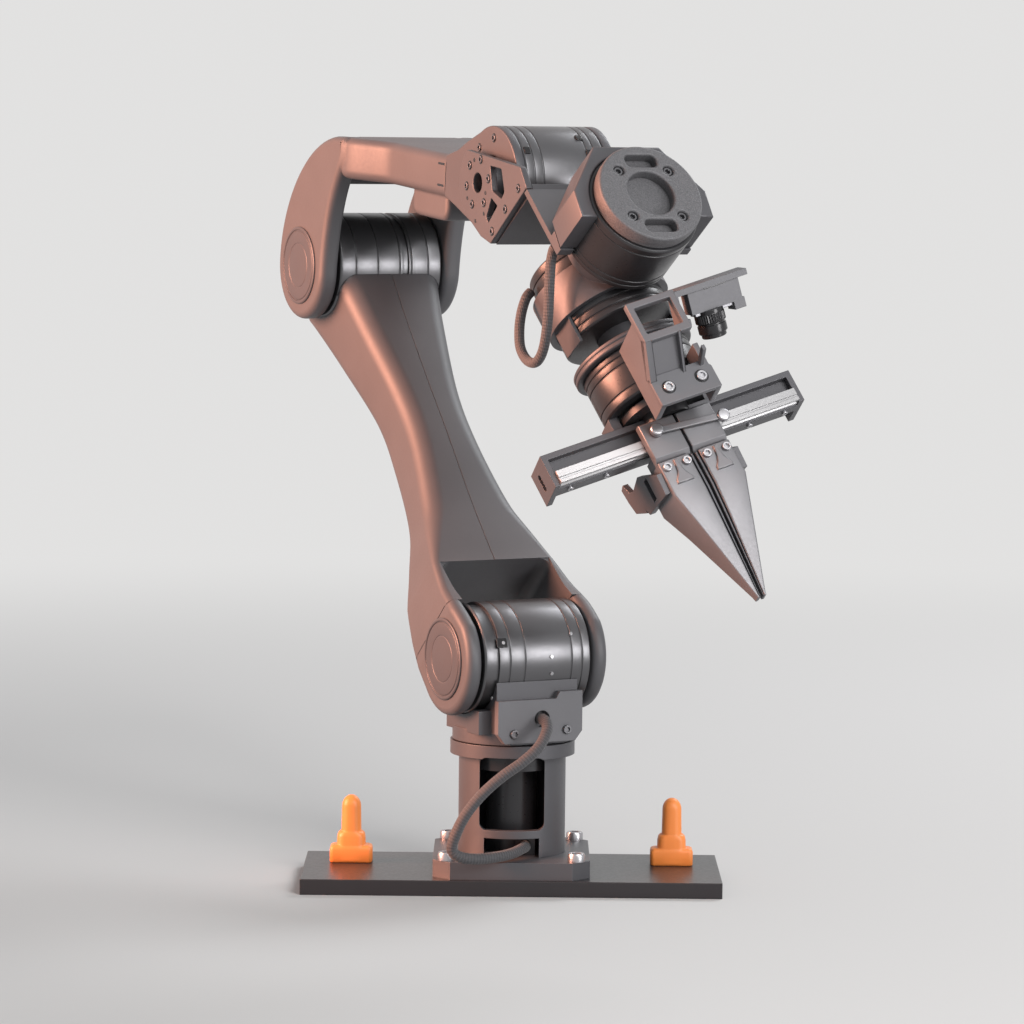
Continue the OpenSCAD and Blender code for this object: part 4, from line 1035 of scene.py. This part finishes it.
paper = bpy.data.materials.new("pale_paper")
paper.use_nodes = True
tree = paper.node_tree
shader, out = tree.nodes["Principled BSDF"], tree.nodes["Material Output"]
shader.inputs["Base Color"].default_value = (0.74, 0.73, 0.72, 1)
shader.inputs["Roughness"].default_value = 0.85
place = tree.nodes.new("ShaderNodeTexCoord")
reach = tree.nodes.new("ShaderNodeVectorMath")
reach.operation = "LENGTH"
fade = tree.nodes.new("ShaderNodeMapRange")
fade.interpolation_type = "SMOOTHSTEP"
fade.inputs["From Min"].default_value, fade.inputs["From Max"].default_value = FADE_FROM, FADE_TO
both = tree.nodes.new("ShaderNodeMath")
both.operation = "MULTIPLY"
glow = tree.nodes.new("ShaderNodeEmission")
glow.inputs["Color"].default_value = PALE
mix = tree.nodes.new("ShaderNodeMixShader")
tree.links.new(place.outputs["Object"], reach.inputs[0])
tree.links.new(reach.outputs["Value"], fade.inputs["Value"])
tree.links.new(fade.outputs["Result"], both.inputs[0])
tree.links.new(seen(tree), both.inputs[1])
tree.links.new(both.outputs[0], mix.inputs["Fac"])
tree.links.new(shader.outputs["BSDF"], mix.inputs[1])
tree.links.new(glow.outputs["Emission"], mix.inputs[2])
tree.links.new(mix.outputs["Shader"], out.inputs["Surface"])
radii, q = np.array([30, 8, 2, 0.6]) / MM, np.linspace(0, 2 * np.pi, 72, endpoint=False)
grid = np.stack(np.broadcast_arrays(radii[:, None] * np.cos(q), radii[:, None] * np.sin(q), 0.0), -1)
middle = len(q) * (len(radii) - 1)
sheet = ring_faces(len(radii), len(q)).tolist() + [list(range(middle, middle + len(q)))]
floor = make("floor", grid, sheet, WORLD, None, paper)

# %% Lamps
def lamp(name, place, target, size, watts, colour):
    light = bpy.data.lights.new(name, "AREA")
    light.shape, light.size, light.energy, light.color = "SQUARE", size, watts, colour
    piece = bpy.data.objects.new(name, light)
    way = np.asarray(target, float) - np.asarray(place, float)
    side = np.cross(way, (0, 0, 1.0))
    turn = np.stack([v / np.linalg.norm(v) for v in (side, np.cross(side, way), -way)], 1)
    piece.matrix_world = Matrix.Translation(place) @ Matrix(turn.tolist()).to_4x4()
    bpy.context.scene.collection.objects.link(piece)
    return piece


aim = (0, 0, 0.22)
lamp("front_lamp", (0.9, -1.5, 1.3), aim, 1.0, 26, (1.0, 0.98, 0.97))
lamp("back_lamp", (0.8, 1.0, 1.3), aim, 0.7, 12, (0.97, 0.98, 1.0))
low = lamp("low_lamp", (1.25, -0.95, 0.36), (0, 0, 0.2), 0.5, 9, (1.0, 0.98, 0.98))
warm = lamp("side_lamp", (-1.2, -0.25, 0.55), aim, 0.7, 62, (1.0, 0.42, 0.27))
lit = bpy.data.collections.new("arm_alone")
for piece in bpy.context.scene.collection.all_objects:
    if piece.type == "MESH" and piece is not floor:
        lit.objects.link(piece)
for piece in (low, warm):
    piece.light_linking.receiver_collection = lit
world = bpy.data.worlds.new("studio")
world.use_nodes = True
tree = world.node_tree
sky = tree.nodes["Background"]
sky.inputs["Color"].default_value, sky.inputs["Strength"].default_value = (0.9, 0.91, 0.93, 1), 0.35
backdrop = tree.nodes.new("ShaderNodeBackground")
backdrop.inputs["Color"].default_value = PALE
mix = tree.nodes.new("ShaderNodeMixShader")
tree.links.new(seen(tree), mix.inputs["Fac"])
tree.links.new(sky.outputs["Background"], mix.inputs[1])
tree.links.new(backdrop.outputs["Background"], mix.inputs[2])
tree.links.new(mix.outputs["Shader"], tree.nodes["World Output"].inputs["Surface"])
bpy.context.scene.world = world
bpy.context.scene.view_settings.view_transform = "Standard"
